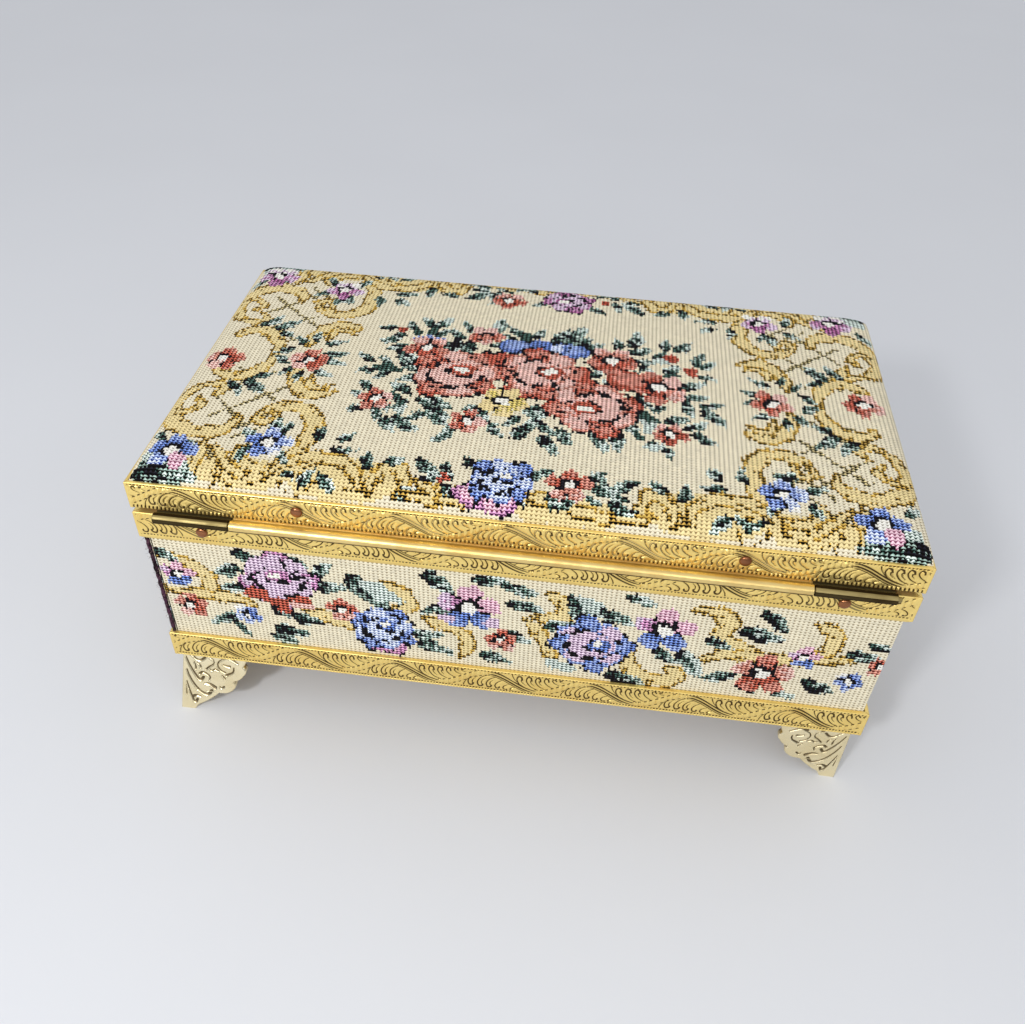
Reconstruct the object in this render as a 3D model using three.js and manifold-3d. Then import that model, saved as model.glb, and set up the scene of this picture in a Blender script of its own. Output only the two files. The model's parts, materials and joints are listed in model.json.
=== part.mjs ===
// A footed jewelry box covered in woven tapestry, with stamped gilt bands, cast corner feet and a
// padded lid on a long rolled hinge. Millimetres, +Z up, the floor at zero, the front towards -Y.
// The hinge runs along the back, towards +Y. Left and right are as seen from the front.
import * as THREE from "three";
import { mergeVertices } from "three/addons/utils/BufferGeometryUtils.js";
import Module from "manifold-3d";

// Outline over the stamped bands, which lie flush with each other
const boxLength = 248;
const boxDepth = 140;

// Heights, from the floor up
const footHeight = 24;
const baseBandHeight = 11.9;
const wallShow = 46.6;
const rimBandHeight = 11.8;
const lidGap = 1.7;

// Clearances
const seat = 0.1;
const mitreGap = 0.1;
const runningGap = 0.2;
const overrun = 2;

// Sheet metal of the bands
const bandSheet = 0.5;
const bandRound = 0.35;
const baseFlange = 10;
const rimChamfer = 1.2;
const lidTopFlange = 1.6;
const lidLip = 1.4;

// Boards, cloth and linings
const clothInset = 1.5;
const clothThickness = 1;
const clothLap = 2.7;
const seamWidth = 0.4;
const wallThickness = 4;
const baseThickness = 4;
const liningThickness = 1.4;
const floorLiningThickness = 2;

// Lid, a stack held in its bands
const lidBoardThickness = 5;
const lidLiningThickness = 3.5;
const lidRecess = 0.4;
const shoulderRise = 5.4;
const shoulderRun = 9;
const centreRise = 2.6;
const padSide = 1.2;
const padEdge = 0.8;

// Hinge
const leafSheet = 0.7;
const pinRadius = 0.9;
const barrelClear = 0.7;
const knuckleFromEnd = 8.5;
const knuckleLength = 24.5;
const knuckleGap = 0.3;
const pinTail = 1.5;
const leafTopMargin = 2;
const slotClear = 0.3;

// Rivets through the bands and the hinge leaves
const rivetHeadRadius = 1.6;
const rivetHeadRise = 0.9;
const rivetShankRadius = 0.8;
const rivetTailRadius = 1.2;
const rivetTail = 0.5;
const rivetHoleClear = 0.15;
const lidRivetFromEnd = 54.8;
const rimRivetFromEnd = 22;

// Cast feet and their screws
const footInset = 2.7;
const footLean = 2;
const wingWidth = 24;
const wingThickness = 3;
const tabThickness = 2;
const tabMargin = 1.6;
const screwShankRadius = 1.4;
const screwHeadRadius = 2.6;
const screwHeadHeight = 1.4;
const screwGrip = 3;
const screwClear = 0.3;

// Counts
const longCells = 12;
const shortCells = 7;
const pinSides = 16;
const barrelSides = 24;
const rivetSides = 16;
const curveSteps = 4;
const cornerSteps = 4;

// A screw head's flat top and straight side, as shares of its radius and height
const screwDomeShare = 0.6;

// Unit shares along the rounded shoulder of the padded top, closer together where it is steep
const shoulderShares = [0, 0.03, 0.12, 0.28, 0.55, 1];
const shoulderPower = 2.2;

// The foot's scalloped edge: control point and end of each arc, as shares of wing width and height
const scallopShares = [
  [1.03, 0.1, 0.96, 0.2],
  [1.05, 0.28, 0.97, 0.36],
  [0.92, 0.45, 0.82, 0.46],
  [0.9, 0.55, 0.8, 0.63],
  [0.72, 0.7, 0.62, 0.665],
  [0.47, 0.82, 0.33, 0.89],
  [0.25, 0.93, 0.23, 1],
];

// Levels that follow from the heights
const lidBandHeight =
  bandSheet + seat + clothThickness + seat + lidBoardThickness + seat + lidLiningThickness + lidRecess;
const castHeight = footHeight - seat;
const baseTop = footHeight + baseBandHeight;
const rimBottom = baseTop + wallShow;
const rimTop = rimBottom + rimBandHeight;
const lidBottom = rimTop + lidGap;
const lidTop = lidBottom + lidBandHeight;
const lidLiningBottom = lidBottom + lidRecess;
const boardBottom = footHeight + bandSheet + seat;
const boardTop = boardBottom + baseThickness;
const floorTop = boardTop + seat + floorLiningThickness;

// Insets from the band faces
const wallInset = clothInset + clothThickness + seat;
const wallInner = wallInset + wallThickness;
const clothCorner = clothThickness + seat;
const liningInset = wallInner + seat;
const liningInner = liningInset + liningThickness;
const leafInset = bandSheet + seat;
const tailInset = leafInset + leafSheet + seat;
const lidBackInset = tailInset + rivetTail + seat;
const screwInset = baseFlange + screwShankRadius + screwClear;

// Hinge line
const barrelRadius = pinRadius + runningGap + leafSheet;
const barrelOut = barrelRadius + barrelClear;
const hingeZ = rimTop + lidGap / 2;
const knuckleOuter = boxLength / 2 - knuckleFromEnd;
const knuckleInner = knuckleOuter - knuckleLength;
const stripHalf = knuckleInner - knuckleGap;

// The frame's origin is the middle of the whole outline, so the box sits forward by half the hinge
const forward = (barrelOut + barrelRadius) / 2;

const wasm = await Module();
wasm.setup();

// Materials
const gilt = new THREE.MeshStandardMaterial({ color: 0xd9b45a, roughness: 0.32, metalness: 1 });
const castGilt = new THREE.MeshStandardMaterial({ color: 0xe6d3a3, roughness: 0.18, metalness: 1 });
const bronze = new THREE.MeshStandardMaterial({ color: 0x8a7440, roughness: 0.45, metalness: 1 });
const copper = new THREE.MeshStandardMaterial({ color: 0xa5683f, roughness: 0.4, metalness: 1 });
const steel = new THREE.MeshStandardMaterial({ color: 0x9a9a96, roughness: 0.4, metalness: 1 });
const tapestry = new THREE.MeshStandardMaterial({ color: 0xe3d6a8, roughness: 0.95, metalness: 0 });
const board = new THREE.MeshStandardMaterial({ color: 0x9c7b52, roughness: 0.9, metalness: 0 });
const velvet = new THREE.MeshStandardMaterial({ color: 0x7a2230, roughness: 0.95, metalness: 0 });
const wadding = new THREE.MeshStandardMaterial({ color: 0xf1ede2, roughness: 1, metalness: 0 });

// A closed geometry as a solid that can be joined and cut.
function solidOf(geometry) {
  const bare = geometry.index ? geometry.toNonIndexed() : geometry.clone();
  bare.deleteAttribute("normal");
  bare.deleteAttribute("uv");
  const merged = mergeVertices(bare, 1e-4);
  return new wasm.Manifold(
    new wasm.Mesh({
      numProp: 3,
      vertProperties: merged.attributes.position.array,
      triVerts: new Uint32Array(merged.index.array),
    }),
  );
}

// A solid back as a geometry.
function geometryOf(solid) {
  const mesh = solid.getMesh();
  const geometry = new THREE.BufferGeometry();
  geometry.setAttribute("position", new THREE.BufferAttribute(mesh.vertProperties, 3));
  geometry.setIndex(new THREE.BufferAttribute(mesh.triVerts, 1));
  const flat = geometry.toNonIndexed();
  flat.computeVertexNormals();
  return flat;
}

// A block between two corners.
function block(low, high) {
  const size = high.map((value, i) => value - low[i]);
  const geometry = new THREE.BoxGeometry(...size);
  geometry.translate(...high.map((value, i) => (value + low[i]) / 2));
  return geometry;
}

// A cylinder along X between two ends.
function rodAlongX(radius, start, end, sides) {
  const geometry = new THREE.CylinderGeometry(radius, radius, end - start, sides);
  geometry.rotateZ(Math.PI / 2);
  geometry.translate((start + end) / 2, 0, 0);
  return geometry;
}

// A cylinder along Y between two ends.
function rodAlongY(radius, start, end, sides) {
  const geometry = new THREE.CylinderGeometry(radius, radius, end - start, sides);
  geometry.translate(0, (start + end) / 2, 0);
  return geometry;
}

function addMesh(parent, name, geometry, material) {
  const mesh = new THREE.Mesh(geometry, material);
  mesh.name = name;
  parent.add(mesh);
  return mesh;
}

// The four sides of the box: the turn about Z that faces a strip outwards, its place and half length.
const sides = {
  back: { turn: 0, x: 0, y: boxDepth / 2, half: boxLength / 2 },
  front: { turn: Math.PI, x: 0, y: -boxDepth / 2, half: boxLength / 2 },
  right: { turn: -Math.PI / 2, x: boxLength / 2, y: 0, half: boxDepth / 2 },
  left: { turn: Math.PI / 2, x: -boxLength / 2, y: 0, half: boxDepth / 2 },
};

// A strip of bent sheet along X whose ends are mitred. Its profile has points (inset, height): the
// outer face is at y = 0, and the inset grows towards -Y. An end moves in by as much as the inset.
function mitredStrip(profile, half) {
  const shape = new THREE.Shape(profile.map(([inset, height]) => new THREE.Vector2(inset, height)));
  const geometry = new THREE.ExtrudeGeometry(shape, { depth: 1, bevelEnabled: false });
  const position = geometry.getAttribute("position");
  for (let i = 0; i < position.count; i += 1) {
    const inset = position.getX(i);
    const height = position.getY(i);
    const end = position.getZ(i) > 0 ? -1 : 1;
    position.setXYZ(i, end * (half - mitreGap - inset), -inset, height);
  }
  geometry.computeVertexNormals();
  return geometry;
}

// Profiles of the three bands, with a slightly rounded outer edge where the sheet turns
function baseBandProfile() {
  const lip = clothInset - seat;
  return [
    [bandRound, 0],
    [baseFlange, 0],
    [baseFlange, bandSheet],
    [bandSheet, bandSheet],
    [bandSheet, baseBandHeight - bandSheet],
    [lip, baseBandHeight - bandSheet],
    [lip, baseBandHeight],
    [bandRound, baseBandHeight],
    [0, baseBandHeight - bandRound],
    [0, bandRound],
  ];
}

function rimBandProfile() {
  const lip = clothInset - seat;
  return [
    [0, rimChamfer],
    [lip - bandSheet, 0],
    [lip, 0],
    [lip, bandSheet],
    [bandSheet, rimChamfer + bandSheet / 2],
    [bandSheet, rimBandHeight - bandSheet],
    [wallInner, rimBandHeight - bandSheet],
    [wallInner, rimBandHeight],
    [bandRound, rimBandHeight],
    [0, rimBandHeight - bandRound],
  ];
}

function lidBandProfile() {
  return [
    [bandRound, 0],
    [lidLip, 0],
    [lidLip, bandSheet],
    [bandSheet, bandSheet],
    [bandSheet, lidBandHeight - bandSheet],
    [lidTopFlange, lidBandHeight - bandSheet],
    [lidTopFlange, lidBandHeight],
    [bandRound, lidBandHeight],
    [0, lidBandHeight - bandRound],
    [0, bandRound],
  ];
}

// A rivet hole through a back strip, in the strip's own frame.
function rivetHole(x, z) {
  const hole = rodAlongY(rivetShankRadius + rivetHoleClear, -bandSheet - overrun, overrun, rivetSides);
  hole.translate(x, 0, z);
  return solidOf(hole);
}

// The four strips of a band round a body, the back one cut where the hinge and its rivets pass.
function addBand(parent, name, profile, bottom, cutters) {
  for (const [side, place] of Object.entries(sides)) {
    const whole = mitredStrip(profile, place.half);
    const cut = side === "back";
    const geometry = cut
      ? geometryOf(cutters.reduce((solid, cutter) => solid.subtract(cutter), solidOf(whole)))
      : whole;
    const mesh = addMesh(parent, `${name}_${side}`, geometry, gilt);
    mesh.position.set(place.x, place.y, bottom);
    mesh.rotation.z = place.turn;
  }
}

const rimRivetX = boxLength / 2 - rimRivetFromEnd;
const lidRivetX = boxLength / 2 - lidRivetFromEnd;
const rimRivetZ = rimBandHeight / 2;
const lidRivetZ = lidBandHeight / 2 + bandSheet;

// The slots in the rim's top flange where the two body leaves go down.
function rimSlot(side) {
  const low = Math.min(side * knuckleInner, side * knuckleOuter) - slotClear;
  const high = Math.max(side * knuckleInner, side * knuckleOuter) + slotClear;
  return solidOf(
    block(
      [low, -tailInset, rimBandHeight - bandSheet - overrun],
      [high, -bandSheet, rimBandHeight + overrun],
    ),
  );
}

// The stretch of the lid's lower lip that is cut away for the rolled strip.
function lipNotch() {
  const half = stripHalf + slotClear;
  return solidOf(block([-half, -lidLip - overrun, -overrun], [half, -bandSheet, bandSheet + overrun]));
}

// A wall or lining panel as a block between insets, butted inside the long ones when it is short.
function addPanels(parent, name, outer, inner, bottom, top, material) {
  const x = boxLength / 2;
  const y = boxDepth / 2;
  const long = x - outer;
  const short = y - inner - seat;
  const spans = {
    front: [[-long, -(y - outer), bottom], [long, -(y - inner), top]],
    back: [[-long, y - inner, bottom], [long, y - outer, top]],
    left: [[-(x - outer), -short, bottom], [-(x - inner), short, top]],
    right: [[x - inner, -short, bottom], [x - outer, short, top]],
  };
  for (const [side, [low, high]] of Object.entries(spans)) {
    addMesh(parent, `${name}_${side}`, block(low, high), material);
  }
}

// A rectangle centred on the box with rounded corners, as a path.
function roundedRectangle(path, halfX, halfY, radius) {
  const a = halfX - radius;
  const b = halfY - radius;
  path.moveTo(-a, -halfY);
  path.lineTo(a, -halfY);
  path.absarc(a, -b, radius, -Math.PI / 2, 0, false);
  path.lineTo(halfX, b);
  path.absarc(a, b, radius, 0, Math.PI / 2, false);
  path.lineTo(-a, halfY);
  path.absarc(-a, b, radius, Math.PI / 2, Math.PI, false);
  path.lineTo(-halfX, -b);
  path.absarc(-a, -b, radius, Math.PI, Math.PI * 1.5, false);
  return path;
}

// The wall cloth: one strip round the walls, its ends meeting at a seam in the back right corner.
function wrapGeometry() {
  const halfX = boxLength / 2 - clothInset;
  const halfY = boxDepth / 2 - clothInset;
  const shape = roundedRectangle(new THREE.Shape(), halfX, halfY, clothCorner);
  const inner = clothCorner - clothThickness;
  const hole = roundedRectangle(new THREE.Path(), halfX - clothThickness, halfY - clothThickness, inner);
  shape.holes.push(hole);
  const bottom = baseTop - clothLap;
  const height = rimBottom + clothLap - bottom;
  const ring = new THREE.ExtrudeGeometry(shape, {
    depth: height,
    bevelEnabled: false,
    curveSegments: cornerSteps,
  });
  ring.translate(0, 0, bottom);
  const seam = halfX - clothCorner;
  const slit = block(
    [seam - seamWidth, halfY - clothThickness - overrun, bottom - overrun],
    [seam, halfY + overrun, bottom + height + overrun],
  );
  return geometryOf(solidOf(ring).subtract(solidOf(slit)));
}

// The base board, with a blind hole for each foot screw.
function baseBoardGeometry() {
  const x = boxLength / 2 - wallInset;
  const y = boxDepth / 2 - wallInset;
  let solid = solidOf(block([-x, -y, boardBottom], [x, y, boardTop]));
  const radius = screwShankRadius + rivetHoleClear;
  const holeTop = boardBottom + screwGrip + seat;
  for (const cornerX of [-1, 1]) {
    for (const cornerY of [-1, 1]) {
      const hole = new THREE.CylinderGeometry(radius, radius, holeTop - boardBottom + overrun, rivetSides);
      hole.rotateX(Math.PI / 2);
      hole.translate(
        cornerX * (boxLength / 2 - screwInset),
        cornerY * (boxDepth / 2 - screwInset),
        (holeTop + boardBottom - overrun) / 2,
      );
      solid = solid.subtract(solidOf(hole));
    }
  }
  return geometryOf(solid);
}

// One wing of a foot: its scalloped outline, extruded to the casting's thickness. The corner edge is
// the line x = y = 0, the wing runs towards -X, and its outer face is y = 0.
function wingGeometry() {
  const shape = new THREE.Shape();
  shape.moveTo(0, 0);
  shape.lineTo(-wingWidth, 0);
  for (const [controlU, controlV, endU, endV] of scallopShares) {
    shape.quadraticCurveTo(
      -controlU * wingWidth,
      -controlV * castHeight,
      -endU * wingWidth,
      -endV * castHeight,
    );
  }
  shape.lineTo(0, -castHeight);
  const geometry = new THREE.ExtrudeGeometry(shape, {
    depth: wingThickness,
    bevelEnabled: false,
    curveSegments: curveSteps,
  });
  geometry.rotateX(Math.PI / 2);
  geometry.translate(0, 0, castHeight);
  return geometry;
}

// The geometry mirrored across the plane x = y, with its faces turned to stay outwards.
function swapped(geometry) {
  const flat = geometry.index ? geometry.toNonIndexed() : geometry.clone();
  const position = flat.getAttribute("position");
  for (let i = 0; i < position.count; i += 3) {
    const corners = [0, 2, 1].map((k) => [
      position.getY(i + k),
      position.getX(i + k),
      position.getZ(i + k),
    ]);
    corners.forEach((corner, k) => position.setXYZ(i + k, ...corner));
  }
  return flat;
}

// A cast foot in its own frame: two wings that meet in the corner, and a tab with a screw hole under
// the box. The casting leans out from its top to its tip.
function footGeometry() {
  const tab = screwInset - footInset + screwHeadRadius + tabMargin;
  const wing = wingGeometry();
  const hole = new THREE.CylinderGeometry(
    screwShankRadius + screwClear,
    screwShankRadius + screwClear,
    castHeight,
    rivetSides,
  );
  hole.rotateX(Math.PI / 2);
  hole.translate(footInset - screwInset, footInset - screwInset, castHeight);
  const solid = solidOf(wing)
    .add(solidOf(swapped(wing)))
    .add(solidOf(block([-tab, -tab, castHeight - tabThickness], [0, 0, castHeight])))
    .subtract(solidOf(hole));
  const geometry = geometryOf(solid);
  const position = geometry.getAttribute("position");
  for (let i = 0; i < position.count; i += 1) {
    const drop = castHeight - position.getZ(i);
    const lean = (footLean * Math.max(drop - tabThickness, 0)) / (castHeight - tabThickness);
    position.setX(i, position.getX(i) + lean);
    position.setY(i, position.getY(i) + lean);
  }
  geometry.computeVertexNormals();
  return geometry;
}

// A pan-head screw with its head down, its seat at zero and its shank upwards.
function footScrewGeometry() {
  const shank = tabThickness + seat + (boardBottom - footHeight) + screwGrip - seat;
  const profile = [
    [0, -screwHeadHeight],
    [screwHeadRadius * screwDomeShare, -screwHeadHeight],
    [screwHeadRadius, -screwHeadHeight * screwDomeShare],
    [screwHeadRadius, 0],
    [screwShankRadius, 0],
    [screwShankRadius, shank - screwShankRadius],
    [0, shank],
  ];
  const geometry = new THREE.LatheGeometry(
    profile.map(([radius, height]) => new THREE.Vector2(radius, height)),
    rivetSides,
  );
  geometry.rotateX(Math.PI / 2);
  return geometry;
}

// A rivet along Y: a domed head outside y = 0, its shank inwards, and its tail spread behind the leaf.
function rivetGeometry() {
  const dome = [];
  for (let step = 0; step <= curveSteps; step += 1) {
    const angle = (Math.PI / 2) * (step / curveSteps);
    dome.push([rivetHeadRadius * Math.sin(angle), seat + rivetHeadRise * Math.cos(angle)]);
  }
  const profile = [
    ...dome,
    [rivetShankRadius, seat],
    [rivetShankRadius, -tailInset],
    [rivetTailRadius, -tailInset],
    [rivetTailRadius, -tailInset - rivetTail],
    [0, -tailInset - rivetTail],
  ];
  profile.reverse();
  return new THREE.LatheGeometry(
    profile.map(([radius, height]) => new THREE.Vector2(radius, height)),
    rivetSides,
  );
}

// A hinge member with the hinge line at y = z = 0: a rolled barrel, the web that leaves it through the
// gap under the lid, and a leaf that turns up or down behind its band, with the holes for its rivets.
function hingeMember(start, end, leafEnd, rivetPlaces) {
  const outer = -(barrelOut + leafInset);
  const inner = outer - leafSheet;
  const web = block([start, inner, -leafSheet / 2], [end, 0, leafSheet / 2]);
  const leaf = block(
    [start, inner, Math.min(leafEnd, -leafSheet / 2)],
    [end, outer, Math.max(leafEnd, leafSheet / 2)],
  );
  const bore = rodAlongX(pinRadius + runningGap, start - overrun, end + overrun, pinSides);
  let solid = solidOf(web)
    .add(solidOf(leaf))
    .add(solidOf(rodAlongX(barrelRadius, start, end, barrelSides)))
    .subtract(solidOf(bore));
  for (const [x, z] of rivetPlaces) {
    const hole = rodAlongY(rivetShankRadius + rivetHoleClear, inner - overrun, outer + overrun, rivetSides);
    hole.translate(x, 0, z);
    solid = solid.subtract(solidOf(hole));
  }
  return geometryOf(solid);
}

// A share from 0 at the cloth's edge to 1 past the shoulder, rising steeply at first.
function shoulder(distance) {
  const left = 1 - Math.min(Math.max(distance / shoulderRun, 0), 1);
  return (1 - left ** shoulderPower) ** (1 / shoulderPower);
}

// The crown over its edge, for a padded form of half lengths a and b.
function crown(x, y, a, b, rise) {
  const bulge = (1 - (x / a) ** 2) * (1 - (y / b) ** 2);
  return rise * shoulder(a - Math.abs(x)) * shoulder(b - Math.abs(y)) + centreRise * Math.max(bulge, 0);
}

// The places of a grid's lines from one edge to the other: an optional hem outside the shoulders, the
// shoulder's own lines, and an even spread between them.
function gridLines(half, hem, middleCells) {
  const edge = shoulderShares.map((share) => half - share * shoulderRun);
  const outer = hem > 0 ? [half + hem, ...edge] : edge;
  const flat = half - shoulderRun;
  const middle = [];
  for (let i = 1; i < middleCells; i += 1) {
    middle.push(flat - (2 * flat * i) / middleCells);
  }
  const far = outer.map((value) => -value).reverse();
  return [...outer, ...middle, ...far];
}

// A closed form over a grid: top and bottom heights at each crossing, joined by walls at the edge.
function slabGeometry(xs, ys, topAt, bottomAt) {
  const points = [];
  for (const heightAt of [topAt, bottomAt]) {
    for (const y of ys) {
      for (const x of xs) {
        points.push(x, y, heightAt(x, y));
      }
    }
  }
  const layer = xs.length * ys.length;
  const at = (i, j, below) => (below ? layer : 0) + j * xs.length + i;
  const faces = [];
  const quad = (a, b, c, d) => faces.push(a, b, c, a, c, d);
  for (let j = 0; j + 1 < ys.length; j += 1) {
    for (let i = 0; i + 1 < xs.length; i += 1) {
      quad(at(i, j), at(i + 1, j), at(i + 1, j + 1), at(i, j + 1));
      quad(at(i, j, true), at(i, j + 1, true), at(i + 1, j + 1, true), at(i + 1, j, true));
    }
  }
  const lastX = xs.length - 1;
  const lastY = ys.length - 1;
  for (let i = 0; i < lastX; i += 1) {
    quad(at(i, 0), at(i, 0, true), at(i + 1, 0, true), at(i + 1, 0));
    quad(at(i, lastY), at(i + 1, lastY), at(i + 1, lastY, true), at(i, lastY, true));
  }
  for (let j = 0; j < lastY; j += 1) {
    quad(at(0, j), at(0, j + 1), at(0, j + 1, true), at(0, j, true));
    quad(at(lastX, j), at(lastX, j, true), at(lastX, j + 1, true), at(lastX, j + 1));
  }
  const geometry = new THREE.BufferGeometry();
  geometry.setAttribute("position", new THREE.Float32BufferAttribute(points, 3));
  geometry.setIndex(faces);
  const flat = geometry.toNonIndexed();
  flat.computeVertexNormals();
  return flat;
}

// The padded top: the cloth's hem lies under the bands' flange, and the cloth rises just inside it.
const clothEdge = lidTopFlange + seat;
const hemTop = lidTop - bandSheet - seat;
const lidBoardTop = hemTop - clothThickness - seat;
const lidBoardBottom = lidBoardTop - lidBoardThickness;

function tapestryTopGeometry() {
  const a = boxLength / 2 - clothEdge;
  const b = boxDepth / 2 - clothEdge;
  const hem = clothEdge - bandSheet - seat;
  const top = (x, y) => hemTop + crown(x, y, a, b, shoulderRise);
  const bottom = (x, y) => top(x, y) - clothThickness;
  return slabGeometry(gridLines(a, hem, longCells), gridLines(b, hem, shortCells), top, bottom);
}

function padGeometry() {
  const a = boxLength / 2 - clothEdge - padSide;
  const b = boxDepth / 2 - clothEdge - padSide;
  const bottom = lidBoardTop + seat;
  const rise = shoulderRise - padEdge - seat;
  const top = (x, y) => bottom + padEdge + crown(x, y, a, b, rise);
  return slabGeometry(gridLines(a, 0, longCells), gridLines(b, 0, shortCells), top, () => bottom);
}

// The lid's board or lining: a block that leaves room at the back for the hinge leaf and its rivets.
function lidPanel(inset, bottom, top) {
  return block(
    [inset - boxLength / 2, inset - boxDepth / 2, bottom],
    [boxLength / 2 - inset, boxDepth / 2 - lidBackInset, top],
  );
}

// The box body. Its linings stand above the rim, so that the closed lid's lining rests on them.
const boxBody = new THREE.Group();
addMesh(boxBody, "base_board", baseBoardGeometry(), board);
addPanels(boxBody, "wall", wallInset, wallInner, boardTop + seat, rimTop - bandSheet - seat, board);
addMesh(boxBody, "tapestry_wrap", wrapGeometry(), tapestry);
addBand(boxBody, "base_band", baseBandProfile(), footHeight, []);
addBand(boxBody, "rim_band", rimBandProfile(), rimBottom, [
  rimSlot(-1),
  rimSlot(1),
  rivetHole(-rimRivetX, rimRivetZ),
  rivetHole(rimRivetX, rimRivetZ),
]);
addMesh(
  boxBody,
  "lining_floor",
  block(
    [liningInset - boxLength / 2, liningInset - boxDepth / 2, boardTop + seat],
    [boxLength / 2 - liningInset, boxDepth / 2 - liningInset, floorTop],
  ),
  velvet,
);
addPanels(boxBody, "lining", liningInset, liningInner, floorTop + seat, lidLiningBottom - seat, velvet);

// Feet at the corners, each turned a quarter from the one before
const corners = [
  { name: "back_right", turn: 0, x: 1, y: 1 },
  { name: "back_left", turn: Math.PI / 2, x: -1, y: 1 },
  { name: "front_left", turn: Math.PI, x: -1, y: -1 },
  { name: "front_right", turn: -Math.PI / 2, x: 1, y: -1 },
];
for (const corner of corners) {
  const foot = addMesh(boxBody, `foot_${corner.name}`, footGeometry(), castGilt);
  foot.rotation.z = corner.turn;
  foot.position.set(corner.x * (boxLength / 2 - footInset), corner.y * (boxDepth / 2 - footInset), 0);
  const screw = addMesh(boxBody, `foot_screw_${corner.name}`, footScrewGeometry(), steel);
  screw.position.set(
    corner.x * (boxLength / 2 - screwInset),
    corner.y * (boxDepth / 2 - screwInset),
    castHeight - tabThickness - seat,
  );
}

// The hinge's own line, with everything on it
const hingeOnBody = new THREE.Group();
hingeOnBody.position.set(0, boxDepth / 2 + barrelOut, hingeZ);
boxBody.add(hingeOnBody);
const bodyLeafEnd = rimBottom + clothLap + seat - hingeZ;
const rimRivetDrop = rimBottom + rimRivetZ - hingeZ;
addMesh(
  hingeOnBody,
  "hinge_knuckle_right",
  hingeMember(knuckleInner, knuckleOuter, bodyLeafEnd, [[rimRivetX, rimRivetDrop]]),
  bronze,
);
addMesh(
  hingeOnBody,
  "hinge_knuckle_left",
  hingeMember(-knuckleOuter, -knuckleInner, bodyLeafEnd, [[-rimRivetX, rimRivetDrop]]),
  bronze,
);
addMesh(
  hingeOnBody,
  "hinge_pin",
  rodAlongX(pinRadius, -knuckleOuter - pinTail, knuckleOuter, pinSides),
  steel,
);

// The lid
const lid = new THREE.Group();
addBand(lid, "lid_band", lidBandProfile(), lidBottom, [
  lipNotch(),
  rivetHole(-lidRivetX, lidRivetZ),
  rivetHole(lidRivetX, lidRivetZ),
]);
addMesh(lid, "lid_board", lidPanel(bandSheet + seat, lidBoardBottom, lidBoardTop), board);
addMesh(lid, "lid_pad", padGeometry(), wadding);
addMesh(lid, "tapestry_top", tapestryTopGeometry(), tapestry);
addMesh(lid, "lid_lining", lidPanel(lidLip + seat, lidLiningBottom, lidBoardBottom - seat), velvet);
const hingeOnLid = new THREE.Group();
hingeOnLid.position.copy(hingeOnBody.position);
lid.add(hingeOnLid);
const lidRivetRise = lidBottom + lidRivetZ - hingeZ;
addMesh(
  hingeOnLid,
  "hinge_strip",
  hingeMember(-stripHalf, stripHalf, lidTop - leafTopMargin - hingeZ, [
    [-lidRivetX, lidRivetRise],
    [lidRivetX, lidRivetRise],
  ]),
  gilt,
);

// Rivets through the back bands and the leaves behind them
const rivets = [
  { parent: boxBody, name: "rim_rivet_left", x: -rimRivetX, z: rimBottom + rimRivetZ },
  { parent: boxBody, name: "rim_rivet_right", x: rimRivetX, z: rimBottom + rimRivetZ },
  { parent: lid, name: "lid_rivet_left", x: -lidRivetX, z: lidBottom + lidRivetZ },
  { parent: lid, name: "lid_rivet_right", x: lidRivetX, z: lidBottom + lidRivetZ },
];
for (const rivet of rivets) {
  const mesh = addMesh(rivet.parent, rivet.name, rivetGeometry(), copper);
  mesh.position.set(rivet.x, boxDepth / 2, rivet.z);
}

const jewelryBox = new THREE.Group();
jewelryBox.add(boxBody, lid);
jewelryBox.position.y = -forward;

export default jewelryBox;
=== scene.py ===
# %% [markdown]
# # A tapestry jewelry box
#
# The box is fibreboard covered with woven rose tapestry. Stamped gilt strips bind its mouth, its foot
# and its padded lid, cast gilt feet stand under the corners, and the lid turns on a long rolled hinge.
# Every piece here goes round the loaded model, in the same frame: metres, +Z up, the back towards +Y.
# Sizes are thought of in millimetres, because that is how such a box is measured on a bench.

# %% Load the model that the pieces go round
import json
import bpy
import numpy as np
from mathutils import Matrix, Vector


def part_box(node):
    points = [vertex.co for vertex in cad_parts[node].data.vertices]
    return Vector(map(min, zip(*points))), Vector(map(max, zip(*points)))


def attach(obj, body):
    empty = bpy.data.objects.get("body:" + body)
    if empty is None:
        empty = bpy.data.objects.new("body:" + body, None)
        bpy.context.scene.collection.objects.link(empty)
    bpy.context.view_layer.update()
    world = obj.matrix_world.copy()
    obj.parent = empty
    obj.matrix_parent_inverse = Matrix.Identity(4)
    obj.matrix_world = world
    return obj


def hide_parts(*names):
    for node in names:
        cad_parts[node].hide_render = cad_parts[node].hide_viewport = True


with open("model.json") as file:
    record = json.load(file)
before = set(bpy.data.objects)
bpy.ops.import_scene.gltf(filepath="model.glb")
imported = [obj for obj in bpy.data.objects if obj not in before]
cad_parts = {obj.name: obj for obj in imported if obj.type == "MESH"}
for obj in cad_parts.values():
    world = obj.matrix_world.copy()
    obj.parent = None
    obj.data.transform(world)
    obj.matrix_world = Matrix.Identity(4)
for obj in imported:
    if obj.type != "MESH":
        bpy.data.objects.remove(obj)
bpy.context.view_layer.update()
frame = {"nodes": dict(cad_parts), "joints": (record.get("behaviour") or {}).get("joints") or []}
MM = 0.001

# %% [markdown]
# ## The camera
#
# The photograph looks down on the hinge side from about forty degrees, with a phone's normal lens
# turned a few degrees about its own axis. The camera comes first, so that every piece can be judged in
# the photograph's view.

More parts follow.
